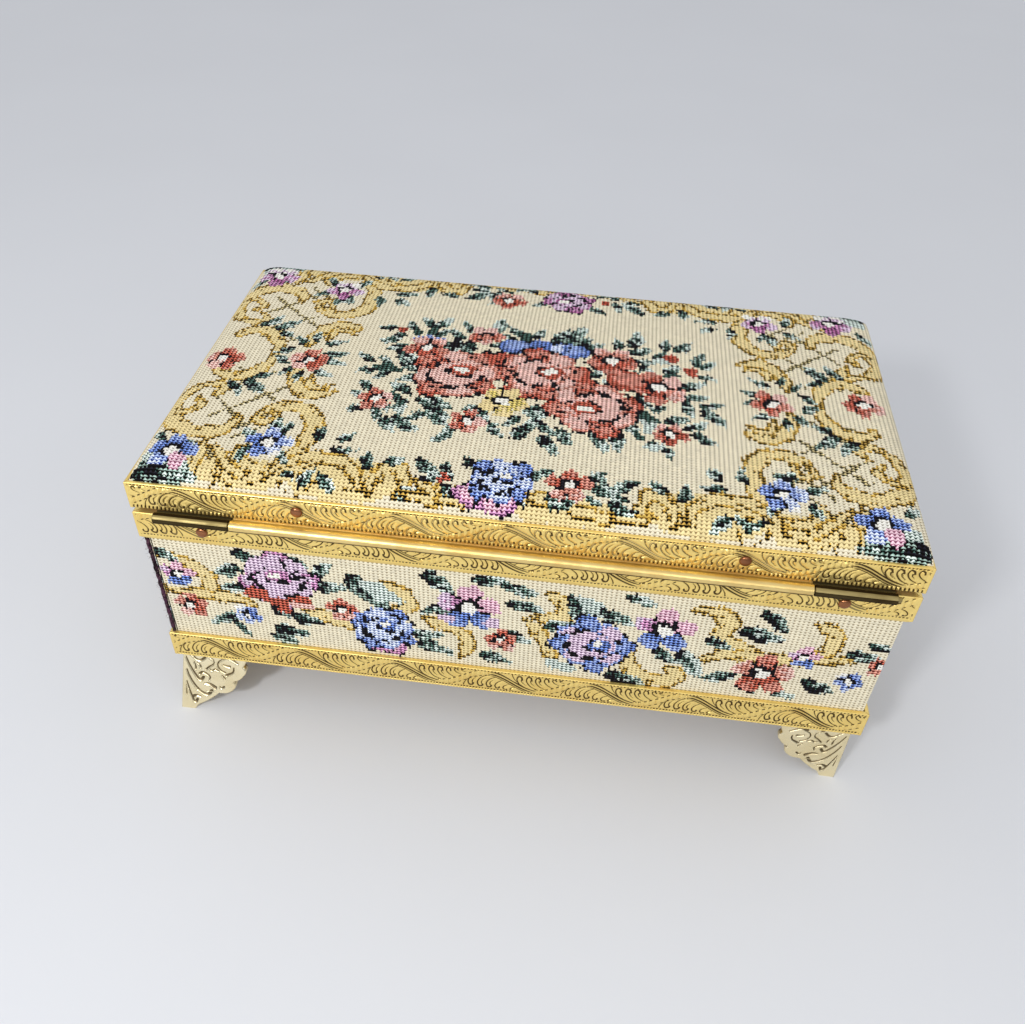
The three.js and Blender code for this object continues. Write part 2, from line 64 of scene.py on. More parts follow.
# %% Place the camera
CAMERA_PLACE = (-18.4, 283.35, 305.0)
CAMERA_LOOK = Vector((0.06953, -0.74236, -0.66638))
CAMERA_UP = Vector((0.10568, -0.65875, 0.74490))
CAMERA_LENS = 34.07
CAMERA_NEAR_M = 0.01

camera = bpy.data.objects.new("camera", bpy.data.cameras.new("camera"))
bpy.context.scene.collection.objects.link(camera)
camera.data.lens = CAMERA_LENS
camera.data.clip_start = CAMERA_NEAR_M
right = CAMERA_LOOK.cross(CAMERA_UP).normalized()
upward = right.cross(CAMERA_LOOK).normalized()
turned = Matrix((right, upward, -CAMERA_LOOK.normalized())).transposed().to_4x4()
camera.matrix_world = Matrix.Translation(Vector(CAMERA_PLACE) * MM) @ turned
bpy.context.scene.camera = camera
print("camera", [round(v, 3) for v in camera.location], "lens", camera.data.lens)

# %% [markdown]
# ## Sizes from the frame
#
# Nothing is fitted by eye: the band faces, the cloth's edges and the hinge line are all read from the
# nodes that the pieces stand for.

# %% Read the sizes, in millimetres


def span(*names):
    """The lowest and highest corner of these nodes together, in millimetres."""
    boxes = [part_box(name) for name in names]
    low = np.min([box[0] for box in boxes], axis=0) / MM
    high = np.max([box[1] for box in boxes], axis=0) / MM
    return low, high


SIDES = ("back", "front", "right", "left")
body_low, body_high = span(*[f"base_band_{side}" for side in SIDES])
HALF_X = (body_high[0] - body_low[0]) / 2
HALF_Y = (body_high[1] - body_low[1]) / 2
MIDDLE_Y = (body_high[1] + body_low[1]) / 2
base_low, base_top = body_low[2], body_high[2]
rim_low, rim_top = [corner[2] for corner in span("rim_band_back")]
lid_low, lid_top = [corner[2] for corner in span("lid_band_back")]
hinge_x, hinge_y, hinge_z = [value / MM for value in frame["joints"][0]["pos_m"]]
print("half lengths", round(HALF_X, 2), round(HALF_Y, 2), "middle", round(MIDDLE_Y, 2))
print("base", base_low, base_top, "rim", rim_low, rim_top, "lid", lid_low, lid_top)

# %% [markdown]
# ## Surfaces from arrays
#
# Each new piece is a grid of points, worked out as whole numpy arrays. Helpers turn the grid's rows and
# columns into faces, close its ends, and put points and faces into a mesh in one go.

# %% Mesh helpers


def grid_faces(rows, columns, close_rows=False, close_columns=False):
    """Four-cornered faces over a grid stored row by row, optionally closed round on itself."""
    row = np.arange(rows if close_rows else rows - 1)[:, None]
    column = np.arange(columns if close_columns else columns - 1)[None, :]
    next_row = (row + 1) % rows
    next_column = (column + 1) % columns
    corners = [row * columns + column, row * columns + next_column,
               next_row * columns + next_column, next_row * columns + column]
    return np.stack(corners, axis=-1).reshape(-1, 4)


def flip(faces):
    """The same faces seen from their other side."""
    return faces[:, ::-1]


def row_caps(rows, columns):
    """Many-cornered faces that close a tube at its grid's first and last rows."""
    loop = np.arange(columns)
    return [loop[::-1], loop + (rows - 1) * columns]


def column_caps(rows, columns):
    """Many-cornered faces that close a bar at its grid's first and last columns."""
    first = np.arange(rows) * columns
    return [first[::-1], first + columns - 1]


def surface(x, y, z):
    """A grid of points from three arrays that are spread over each other."""
    return np.stack(np.broadcast_arrays(x, y, z), axis=-1)


def circle(sides):
    """Angles that go once round in so many equal steps."""
    return np.linspace(0, 2 * np.pi, sides + 1)[:-1]


def build(name, points, faces, caps=(), crease=50):
    """A smooth mesh object from points in millimetres, four-cornered faces and many-cornered caps."""
    points = np.asarray(points, float).reshape(-1, 3)
    corners = np.concatenate([faces.ravel(), *[np.asarray(cap) for cap in caps]]).astype(np.int32)
    sizes = np.array([4] * len(faces) + [len(cap) for cap in caps])
    mesh = bpy.data.meshes.new(name)
    mesh.vertices.add(len(points))
    mesh.vertices.foreach_set("co", (points * MM).astype(np.float32).ravel())
    mesh.loops.add(len(corners))
    mesh.loops.foreach_set("vertex_index", corners)
    mesh.polygons.add(len(sizes))
    mesh.polygons.foreach_set("loop_start", (np.cumsum(sizes) - sizes).astype(np.int32))
    mesh.update(calc_edges=True)
    mesh.validate()
    mesh.shade_smooth()
    mesh.set_sharp_from_angle(angle=np.radians(crease))
    obj = bpy.data.objects.new(name, mesh)
    bpy.context.scene.collection.objects.link(obj)
    return obj


def mark(obj, name, values):
    """Keep one number for each point as an attribute that a material can read."""
    layer = obj.data.attributes.new(name, "FLOAT", "POINT")
    layer.data.foreach_set("value", np.asarray(values, np.float32).ravel())


def settle(obj, body, slot, material, *nodes):
    """Give a finished piece its material, its body and the nodes that it stands for."""
    obj.data.materials.append(material)
    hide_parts(*nodes)
    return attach(obj, body)


print("faces of a grid of 3 by 4 points:", len(grid_faces(3, 4)))

# %% [markdown]
# ## Shader maths as plain expressions
#
# A material is a formula over the surface. Wrapping a socket in a small class lets the formula be
# written as Python arithmetic: each operator adds the Math node that does the same.

# %% The shader helper


class Wire:
    """A socket whose arithmetic adds Math nodes."""

    def __init__(self, shader, socket):
        self.shader = shader
        self.socket = socket

    def math(self, operation, *others):
        return self.shader.node("ShaderNodeMath", dict(enumerate((self, *others))), operation=operation)

    def __add__(self, other):
        return self.math("ADD", other)

    __radd__ = __add__

    def __sub__(self, other):
        return self.math("SUBTRACT", other)

    def __rsub__(self, other):
        return self.shader.node("ShaderNodeMath", {0: other, 1: self}, operation="SUBTRACT")

    def __mul__(self, other):
        return self.math("MULTIPLY", other)

    __rmul__ = __mul__

    def __pow__(self, other):
        return self.math("POWER", other)

    def fract(self):
        return self.math("FRACT")

    def cos(self):
        return self.math("COSINE")

    def abs(self):
        return self.math("ABSOLUTE")

    def above(self, start, end):
        """A smooth step from 0 below start to 1 above end."""
        values = {"Value": self, "From Min": start, "From Max": end}
        return self.shader.node("ShaderNodeMapRange", values, interpolation_type="SMOOTHSTEP")


class Shader:
    """A material with a Principled shader, and one method that adds any node."""

    def __init__(self, name):
        self.material = bpy.data.materials.new(name)
        self.material.use_nodes = True
        self.nodes = self.material.node_tree.nodes
        self.links = self.material.node_tree.links
        self.principled = next(n for n in self.nodes if n.type == "BSDF_PRINCIPLED")

    def put(self, socket, value):
        if isinstance(value, Wire):
            self.links.new(value.socket, socket)
        else:
            socket.default_value = value

    def node(self, kind, values=None, output=0, **settings):
        """A new node of this kind: settings first, then its sockets, and one output as a Wire."""
        new = self.nodes.new(kind)
        for key, value in settings.items():
            setattr(new, key, value)
        for key, value in (values or {}).items():
            self.put(new.inputs[key], value)
        return Wire(self, new.outputs[output])

    def mix(self, factor, first, second, blend="MIX"):
        """One colour over another, by Mix, whose colour sockets are 6 and 7."""
        values = {0: factor, 6: first, 7: second}
        return self.node("ShaderNodeMix", values, output=2, data_type="RGBA", blend_type=blend)

    def noise(self, scale, detail=2.0, place=None):
        values = {"Scale": scale, "Detail": detail}
        values["Vector"] = place or self.place()
        return self.node("ShaderNodeTexNoise", values)

    def place(self):
        return self.node("ShaderNodeTexCoord", output="Object")

    def attribute(self, name, output="Fac"):
        return self.node("ShaderNodeAttribute", output=output, attribute_name=name)

    def bump(self, height, distance, strength=1.0):
        values = {"Height": height, "Distance": distance, "Strength": strength}
        return self.node("ShaderNodeBump", values, output="Normal")

    def finish(self, **values):
        """Set the Principled shader's sockets, spaces in their names written as underscores."""
        for key, value in values.items():
            self.put(self.principled.inputs[key.replace("_", " ")], value)
        return self.material


def tint(code, alpha=1.0):
    """A colour from its usual six-figure code: each part c becomes ((c + 0.055) / 1.055) ** 2.4."""
    parts = [int(code[i:i + 2], 16) / 255 for i in (0, 2, 4)]
    return (*[p / 12.92 if p <= 0.04045 else ((p + 0.055) / 1.055) ** 2.4 for p in parts], alpha)


print("middle grey in linear light:", round(tint("808080")[0], 3))

# %% [markdown]
# ## The weave
#
# The cloth is a ribbed tapestry with a needlepoint look: its ribs run front to back on the lid and
# upright on the walls, 1.5 mm apart, and its stitches are 1.25 mm long. So a picture in it is a chart,
# like a knitter's: each cell holds a yarn, and each yarn shows its light thread with a dark line under
# it, thicker on the strong colours. A yarn is its light tone, its dark tone and the dark line's share.
# Shapes are drawn on the chart by formulas in real millimetres.

# %% Yarns and the chart
RIB = 1.5
COLUMN = RIB / 2
STITCH = 1.25
WOBBLE = 0.45
JITTER = 0.42
YARNS = {
    "cream": ("f1e9d0", "a08858", 0.12),
    "straw": ("f4e2ab", "a08040", 0.16),
    "gold": ("e8c464", "7a5418", 0.34),
    "outline": ("dcb458", "0a0502", 0.62),
    "dash": ("e4d39c", "141006", 0.60),
    "black": ("24232c", "040406", 0.60),
    "green": ("b8d2c6", "020a08", 0.55),
    "deep": ("5c7f74", "020605", 0.62),
    "mint": ("ecf6ee", "1f4a40", 0.32),
    "white": ("fbf9f1", "a89f8a", 0.14),
    "pink": ("fcddd2", "a04a3c", 0.32),
    "salmon": ("f5b29e", "7a241a", 0.42),
    "red": ("e87a62", "300505", 0.47),
    "brick": ("cc5844", "1a0303", 0.50),
    "ice": ("eef5fe", "3f64b4", 0.30),
    "sky": ("bdd2fb", "1a3790", 0.42),
    "blue": ("88a8f2", "050a34", 0.50),
    "lilac": ("f7e4f3", "74447a", 0.32),
    "orchid": ("f0b2dc", "4a1546", 0.43),
    "plum": ("d884be", "160216", 0.50),
    "rosy": ("fcdae5", "98426e", 0.32),
    "yellow": ("fbe68a", "241804", 0.34),
}
PALER = {
    "brick": "red", "red": "salmon", "salmon": "pink", "blue": "sky", "sky": "ice",
    "plum": "orchid", "orchid": "lilac", "yellow": "straw", "lilac": "white", "ice": "white",
}
YARN_NAMES = list(YARNS)
WINDOW_MARGIN = 2.0


class Chart:
    """Yarn numbers for each stitch of a cloth, with each stitch's place in millimetres.
    The places wander a little, x + 0.45 sin(0.7 y + 2 sin(0.23 x)) and so on, plus a jitter
    from stitch to stitch, so that what is drawn has a hand-drawn and stepped edge. The grain is
    0.5 plus the mean jitter of three neighbours, and it breaks up edges and shading."""

    def __init__(self, width, height, seed):
        self.shape = (round(height / STITCH), round(width / COLUMN))
        down, across = self.shape
        y = ((np.arange(down) + 0.5) / down - 0.5)[:, None] * height + np.zeros(self.shape)
        x = ((np.arange(across) + 0.5) / across - 0.5)[None, :] * width + np.zeros(self.shape)
        jitter = np.random.default_rng(seed).uniform(-JITTER, JITTER, (2, *self.shape))
        self.x = x + WOBBLE * np.sin(0.7 * y + 2 * np.sin(0.23 * x)) + jitter[0]
        self.y = y + WOBBLE * np.sin(0.6 * x + 2 * np.sin(0.31 * y)) + jitter[1]
        self.yarn = np.zeros(self.shape, int)
        streak = sum(np.roll(jitter[0] / JITTER, shift, axis=1) for shift in range(3)) / 3
        self.grain = np.clip(0.5 + streak, 0, 1)
        self.rows = y[:, 0]
        self.columns = x[0]

    def window(self, low, high):
        """The places and yarns of the stitches between two corners, or None where there are none."""
        near = [(lines > start - WINDOW_MARGIN) & (lines < end + WINDOW_MARGIN)
                for lines, start, end in ((self.columns, low[0], high[0]), (self.rows, low[1], high[1]))]
        columns, rows = [np.flatnonzero(lines) for lines in near]
        if len(rows) == 0 or len(columns) == 0:
            return None
        part = slice(rows[0], rows[-1] + 1), slice(columns[0], columns[-1] + 1)
        return self.x[part], self.y[part], self.yarn[part], self.grain[part]

    def round(self, x, y, reach):
        return self.window((x - reach, y - reach), (x + reach, y + reach))


def lay(view, where, yarn):
    view[where] = YARN_NAMES.index(yarn)


def polar(px, py):
    """Distance from zero, and angle in degrees from +X towards +Y."""
    return np.hypot(px, py), np.degrees(np.arctan2(py, px))


print("yarns:", len(YARNS), "lid ribs:", round(2 * HALF_X / RIB))

# %% [markdown]
# ### Motifs
#
# The traditional motifs are few: five-petalled flowers, cabbage roses, pointed leaves, buds, and
# tapering rococo scrolls. Each is one function that tests every stitch near it at once.

# %% Motif functions


def disc(chart, x, y, rx, ry, yarn):
    """The stitches where (x / rx) squared + (y / ry) squared is under 1."""
    found = chart.round(x, y, max(rx, ry))
    if found:
        sx, sy, view, _ = found
        lay(view, ((sx - x) / rx) ** 2 + ((sy - y) / ry) ** 2 < 1, yarn)


def arc(chart, x, y, rx, ry, start, end, thick, yarn, dash=0):
    """Part of an ellipse's ring, from one angle to another. With dash, in degrees, every third
    stretch of that angle is left out."""
    found = chart.round(x, y, max(rx, ry) + thick)
    if found:
        sx, sy, view, _ = found
        rho, angle = polar((sx - x) / rx, (sy - y) / ry)
        ring = np.abs(rho - 1) * (rx + ry) / 2 < thick / 2
        within = (angle - start) % 360 < ((end - start) % 360 or 360)
        unbroken = (np.floor(angle / dash) % 3 < 2) if dash else True
        lay(view, ring & within & unbroken, yarn)


LEAF_SHADES = {
    "green": ("green", "green"), "split": ("green", "mint"), "tilps": ("mint", "green"),
    "mint": ("mint", "mint"), "black": ("black", "green"), "kcalb": ("green", "black"),
    "stem": ("deep", "deep"),
}
THINNEST = 0.45
LEAF_ENDS = 0.5


def leaf(chart, x0, y0, x1, y1, shade="green"):
    """A pointed leaf from stalk to tip, with its two sides in the yarns of its shade. Its half width
    is (0.4 L + 1.5) (u + 0.04)^0.55 (1.06 - u)^0.8 at a share u of its length L. A dark vein runs
    along it, widest at the stalk, and streaks of stitches are black near the stalk and pale near
    the tip."""
    length = np.hypot(x1 - x0, y1 - y0)
    found = chart.round((x0 + x1) / 2, (y0 + y1) / 2, length)
    if not found:
        return
    sx, sy, view, grain = found
    dx, dy = (x1 - x0) / length, (y1 - y0) / length
    along = (sx - x0) * dx + (sy - y0) * dy
    across = (sx - x0) * dy - (sy - y0) * dx
    u = np.clip(along / length, 0, 1)
    half = (0.4 * length + 1.5) * (u + 0.04) ** 0.55 * (1.06 - u) ** 0.8
    inside = (along > -LEAF_ENDS) & (along < length + LEAF_ENDS)
    inside &= np.abs(across) < np.maximum(half, THINNEST)
    one, other = LEAF_SHADES[shade]
    lay(view, inside & (across > 0), one)
    lay(view, inside & (across <= 0), other)
    if shade not in ("mint", "stem"):
        lay(view, inside & (np.abs(across) < 1.1 - 0.9 * u), "deep")
        lay(view, inside & (u + 1.3 * (grain - 0.5) > 0.9), "mint")
        lay(view, inside & (u + 1.2 * (grain - 0.5) < 0.16), "black")


def flower(chart, x, y, r, petals, eye="white", turn=90):
    """Five petals: the edge lies at r (0.56 + 0.44 |cos(5/2 angle)|^0.6), with black between the
    petals, paler ragged tips, and a pale eye that is ringed in black."""
    found = chart.round(x, y, r)
    if not found:
        return
    sx, sy, view, grain = found
    rho, angle = polar(sx - x, sy - y)
    angle = angle - turn
    wave = np.abs(np.cos(np.radians(2.5 * angle)))
    reach = r * (0.56 + 0.44 * wave ** 0.6)
    inside = rho < reach
    tip = (rho + 0.5 * r * (grain - 0.5) > 0.7 * reach) & (wave > 0.45)
    sector = np.floor((angle + 36) / 72).astype(int) % 5
    for k in range(5):
        yarn = petals[k % len(petals)]
        lay(view, inside & (sector == k), yarn)
        lay(view, inside & (sector == k) & tip, PALER.get(yarn, yarn))
    lay(view, inside & (wave < 0.2) & (rho > 0.3 * r), "black")
    ring = (rho < 0.4 * r) & (rho > 0.2 * r)
    lay(view, ring & (np.cos(np.radians(angle + turn + 60)) > -0.35), "black")
    lay(view, rho < 0.24 * r, eye)


ROSE_PETALS = [
    (-0.56, -0.46, 0.48, 0.38, 40, 0), (0.02, -0.68, 0.48, 0.32, 0, 1), (0.58, -0.42, 0.46, 0.38, -40, 0),
    (0.76, 0.12, 0.28, 0.46, 0, 1), (-0.77, 0.06, 0.27, 0.42, 0, 1), (0.5, 0.58, 0.46, 0.34, 35, 0),
    (-0.55, 0.54, 0.44, 0.32, -35, 0), (-0.02, 0.76, 0.46, 0.25, 0, 1), (-0.3, -0.3, 0.36, 0.3, 30, 1),
    (0.36, -0.24, 0.36, 0.3, -30, 0), (0.38, 0.3, 0.34, 0.3, 30, 1), (-0.32, 0.34, 0.38, 0.28, -30, 0),
]


FOLD_EDGE = 0.62


def petal(chart, x, y, rx, ry, turn, yarn, paler):
    """A turned ellipse: the paler yarn fills it to a ragged 0.64 of its radius, shifted out, its own
    yarn shades the rest, and black stitches stand along two parts in three of its edge."""
    found = chart.round(x, y, 1.2 * max(rx, ry))
    if not found:
        return
    sx, sy, view, grain = found
    c, s = np.cos(np.radians(turn)), np.sin(np.radians(turn))
    px = ((sx - x) * c + (sy - y) * s) / rx
    py = ((sy - y) * c - (sx - x) * s) / ry
    rho, angle = polar(px, py)
    edge = np.abs(rho - 1) * min(rx, ry) < FOLD_EDGE
    lay(view, edge & (np.floor(angle / 28) % 3 < 2) & (grain > 0.3), "black")
    lay(view, rho < 0.93, yarn)
    lay(view, np.hypot(px, py + 0.12) + 0.24 * (grain - 0.5) < 0.64, paler)


def rose(chart, x, y, r, yarns, turn):
    """A cabbage rose: a ring of outer petals and one of inner petals, shaded in three yarns, then a
    pale bowl whose dark heart and bright lip lie off its middle, with dark stitches in the folds."""
    deep, middle, pale = yarns
    spin = np.radians(turn)

    def placed(px, py):
        across = px * np.cos(spin) - py * np.sin(spin)
        down = px * np.sin(spin) + py * np.cos(spin)
        return x + r * across, y + r * down

    for px, py, rx, ry, lean, shade in ROSE_PETALS:
        own, paler = ((deep, middle), (middle, pale))[shade]
        petal(chart, *placed(px, py), rx * r, ry * r, lean + turn, own, paler)
    bowl, heart = placed(0.04, 0.05), placed(-0.15, -0.12)
    disc(chart, *bowl, 0.6 * r, 0.5 * r, pale)
    disc(chart, *heart, 0.34 * r, 0.25 * r, deep)
    disc(chart, *placed(-0.11, -0.15), 0.19 * r, 0.12 * r, "white")
    arc(chart, *heart, 0.36 * r, 0.27 * r, -20 + turn, 140 + turn, 1.7, "black", dash=27)
    arc(chart, *bowl, 0.64 * r, 0.55 * r, -60 + turn, 60 + turn, 1.7, "black", dash=31)
    arc(chart, *bowl, 0.64 * r, 0.55 * r, 60 + turn, 170 + turn, 2.2, "black", dash=13)


def bud(chart, x, y, r):
    """A red disc a little longer than wide, with one darker stitch or two in its middle."""
    disc(chart, x, y, r, 1.15 * r, "red")
    disc(chart, x, y, 0.6, 0.8, "brick")


def smooth_path(points, samples=14):
    """A curve through given points: between b and c it is the Catmull-Rom cubic of a, b, c, d."""
    p = np.array(points, float)
    p = np.vstack([2 * p[0] - p[1], p, 2 * p[-1] - p[-2]])
    t = (np.arange(samples) / samples)[:, None, None]
    a, b, c, d = p[:-3], p[1:-2], p[2:-1], p[3:]
    cubic = 2 * b + (c - a) * t + (2 * a - 5 * b + 4 * c - d) * t ** 2 + (3 * b - a - 3 * c + d) * t ** 3
    return np.vstack([0.5 * cubic.transpose(1, 0, 2).reshape(-1, 2), p[-2]])


SCROLL_EDGE = 0.55
SCROLL_VEIN = 0.4


def scroll(chart, points, width):
    """A tapering scroll: stitches within width / 2 sin(pi t)^0.35 of a smooth path, edged with gold
    yarn that a dark yarn breaks up, more on the outer side, and with a few dark stitches inside."""
    path = smooth_path(points)
    found = chart.window(path.min(0) - width, path.max(0) + width)
    if not found:
        return
    sx, sy, view, _ = found
    step = np.diff(path, axis=0)
    middle = (path[1:] + path[:-1]) / 2
    gap = np.hypot(sx[..., None] - middle[:, 0], sy[..., None] - middle[:, 1])
    nearest, distance = gap.argmin(-1), gap.min(-1)
    share = np.clip((nearest + 0.5) / len(middle), 0.02, 0.98)
    half = width / 2 * np.sin(np.pi * share) ** 0.35
    side = (sx - middle[nearest, 0]) * step[nearest, 1] - (sy - middle[nearest, 1]) * step[nearest, 0]
    lay(view, distance < half, "straw")
    rim = np.abs(distance - half) < SCROLL_EDGE
    stretch = nearest // 4
    lay(view, rim, "gold")
    lay(view, rim & (side > 0) & (stretch % 5 < 4), "outline")
    lay(view, rim & (side <= 0) & (stretch % 5 < 3), "outline")
    vein = np.abs(distance - 0.4 * half) < SCROLL_VEIN
    lay(view, vein & (side > 0) & (stretch % 4 == 0), "outline")


LATTICE_HALF = 0.7


def lattice(chart, x0, y0, x1, y1):
    """A line of single dashed stitches over bare ground."""
    found = chart.window((min(x0, x1), min(y0, y1)), (max(x0, x1), max(y0, y1)))
    if not found:
        return
    sx, sy, view, _ = found
    length = np.hypot(x1 - x0, y1 - y0)
    along = ((sx - x0) * (x1 - x0) + (sy - y0) * (y1 - y0)) / length
    across = ((sx - x0) * (y1 - y0) - (sy - y0) * (x1 - x0)) / length
    line = (np.abs(across) < LATTICE_HALF) & (along > 0) & (along < length)
    lay(view, line & (view == 0), "dash")


print("petals in a rose:", len(ROSE_PETALS), "leaf shades:", len(LEAF_SHADES))

# %% [markdown]
# ### The lid's design
#
# The picture has a rose bouquet on a plain cream oval, framed by rococo scrolls, a diamond lattice at
# each end, and a flower border. The frame is the same in all four quarters, so it is drawn once and
# mirrored. Places are millimetres from the lid's middle, across towards +X and down towards the hinge.
# A leaf is given by its stalk, its tip and its shade, which is green where none is named, and a scroll
# by its width and the points that it passes through.

# %% Draw the lid's chart
FRAME_SCROLLS = [
    (6.0, [(78, 58), (72.5, 52), (71, 44), (72, 36), (78, 30.5), (85, 31), (90, 35)]),
    (3.0, [(90, 34), (91, 38), (87, 40), (84.5, 36.5), (87, 33.5)]),
    (6.5, [(97, 38), (99, 44), (105, 47.5), (112, 46.5), (118, 42), (121, 34), (119, 26), (114, 22)]),
    (3.4, [(116, 22), (110, 20.5), (107, 24), (110, 27.5)]),
    (3.0, [(119, 38), (115, 37), (111, 33), (114, 29)]),
    (5.5, [(96, 0), (97.5, 8), (102, 14), (109, 15.5), (114, 11)]),
    (5.5, [(86, 7), (85, 14), (82, 20), (76, 23), (70, 20.5)]),
    (3.0, [(80, 12), (79, 17), (75, 19), (71, 16.5)]),
    (5.0, [(79, 64), (74, 58), (67, 54.8), (59, 55.5), (53, 59.5), (50, 66)]),
    (4.5, [(47, 67), (45.5, 60), (42, 56), (38, 57.5), (36.5, 63), (38, 67)]),
    (4.0, [(103.5, 52), (103, 60), (103.5, 68)]),
    (4.0, [(100, 54), (96, 58), (92, 63), (86, 65)]),
    (4.5, [(92, 53), (90, 58), (84, 62.5), (79, 61)]),
]
FRAME_LATTICE = [
    (88, 28, 106, 10), (90, 46, 108, 28), (92, 10, 108, 24), (84, 18, 108, 40), (95, 44, 88, 36),
    (96, 50, 88, 42), (78, 40, 90, 52), (90, 38, 80, 48), (106, 52, 96, 62), (94, 56, 104, 66),
]
FRAME_LEAVES = [
    (82, 44, 84, 37, "split"), (80, 45, 79, 39), (88, 47, 94, 44.5), (89, 53, 90, 60),
    (79, 53, 75, 59.5), (68.5, 46, 67, 39), (62, 46, 56.5, 41.5, "split"), (62, 50.5, 54.5, 50),
    (49, 58, 50.5, 50), (44, 54, 38.5, 51), (34.5, 51, 27, 57.5), (23.5, 59, 25, 51),
    (32.5, 59.5, 26, 59, "split"), (38.5, 65, 31, 66.5, "split"), (74, 62.5, 69.5, 65, "split"),
    (69, 66.5, 65.5, 61, "split"), (64, 62.5, 57, 67.5, "split"), (105, 56, 108.5, 52),
    (100.5, 17, 93, 24.5), (106.5, 18, 101, 26), (99, 15, 93, 12), (79, 2, 70, 3.2),
    (80, 8, 73, 11.5, "split"), (88, 7, 91, 13), (90, 5, 96, 1), (84, 10, 84.5, 15.5),
    (121, 64, 104, 64.5, "split"), (122, 67.5, 102, 67.8), (120, 61, 107, 61.5, "mint"),
    (117, 53, 121, 47),
]
FRAME_GROUND = [(56, 62, 20, 8.5), (88, 64, 15, 6)]
FRAME_DASHES = [(56, 62, 13, 4.5), (88, 65, 8, 3.5), (98, 66, 4, 6), (70, 66, 5, 4)]
EDGE_SCROLLS = [
    (4.0, [(38, 65), (28, 67), (16, 66), (4, 64), (-8, 62.5), (-18, 65.5), (-30, 67), (-40, 65)]),
    (3.5, [(34, 61), (28, 63.5), (20, 63)]),
]
EDGE_LEAVES = [
    (20, 48.5, 13, 53), (0, 56, -8, 50), (-20, 53, -25.5, 48, "split"), (-21, 55.5, -29, 57),
    (-18, 60, -24, 62.5), (-27, 62, -34, 65.5), (-9, 66, -16, 61.5, "split"), (-8, 61, -13, 66),
    (24, 62, 20, 66), (2, 60, 0, 66, "black"), (16, 62, 20, 66),
]
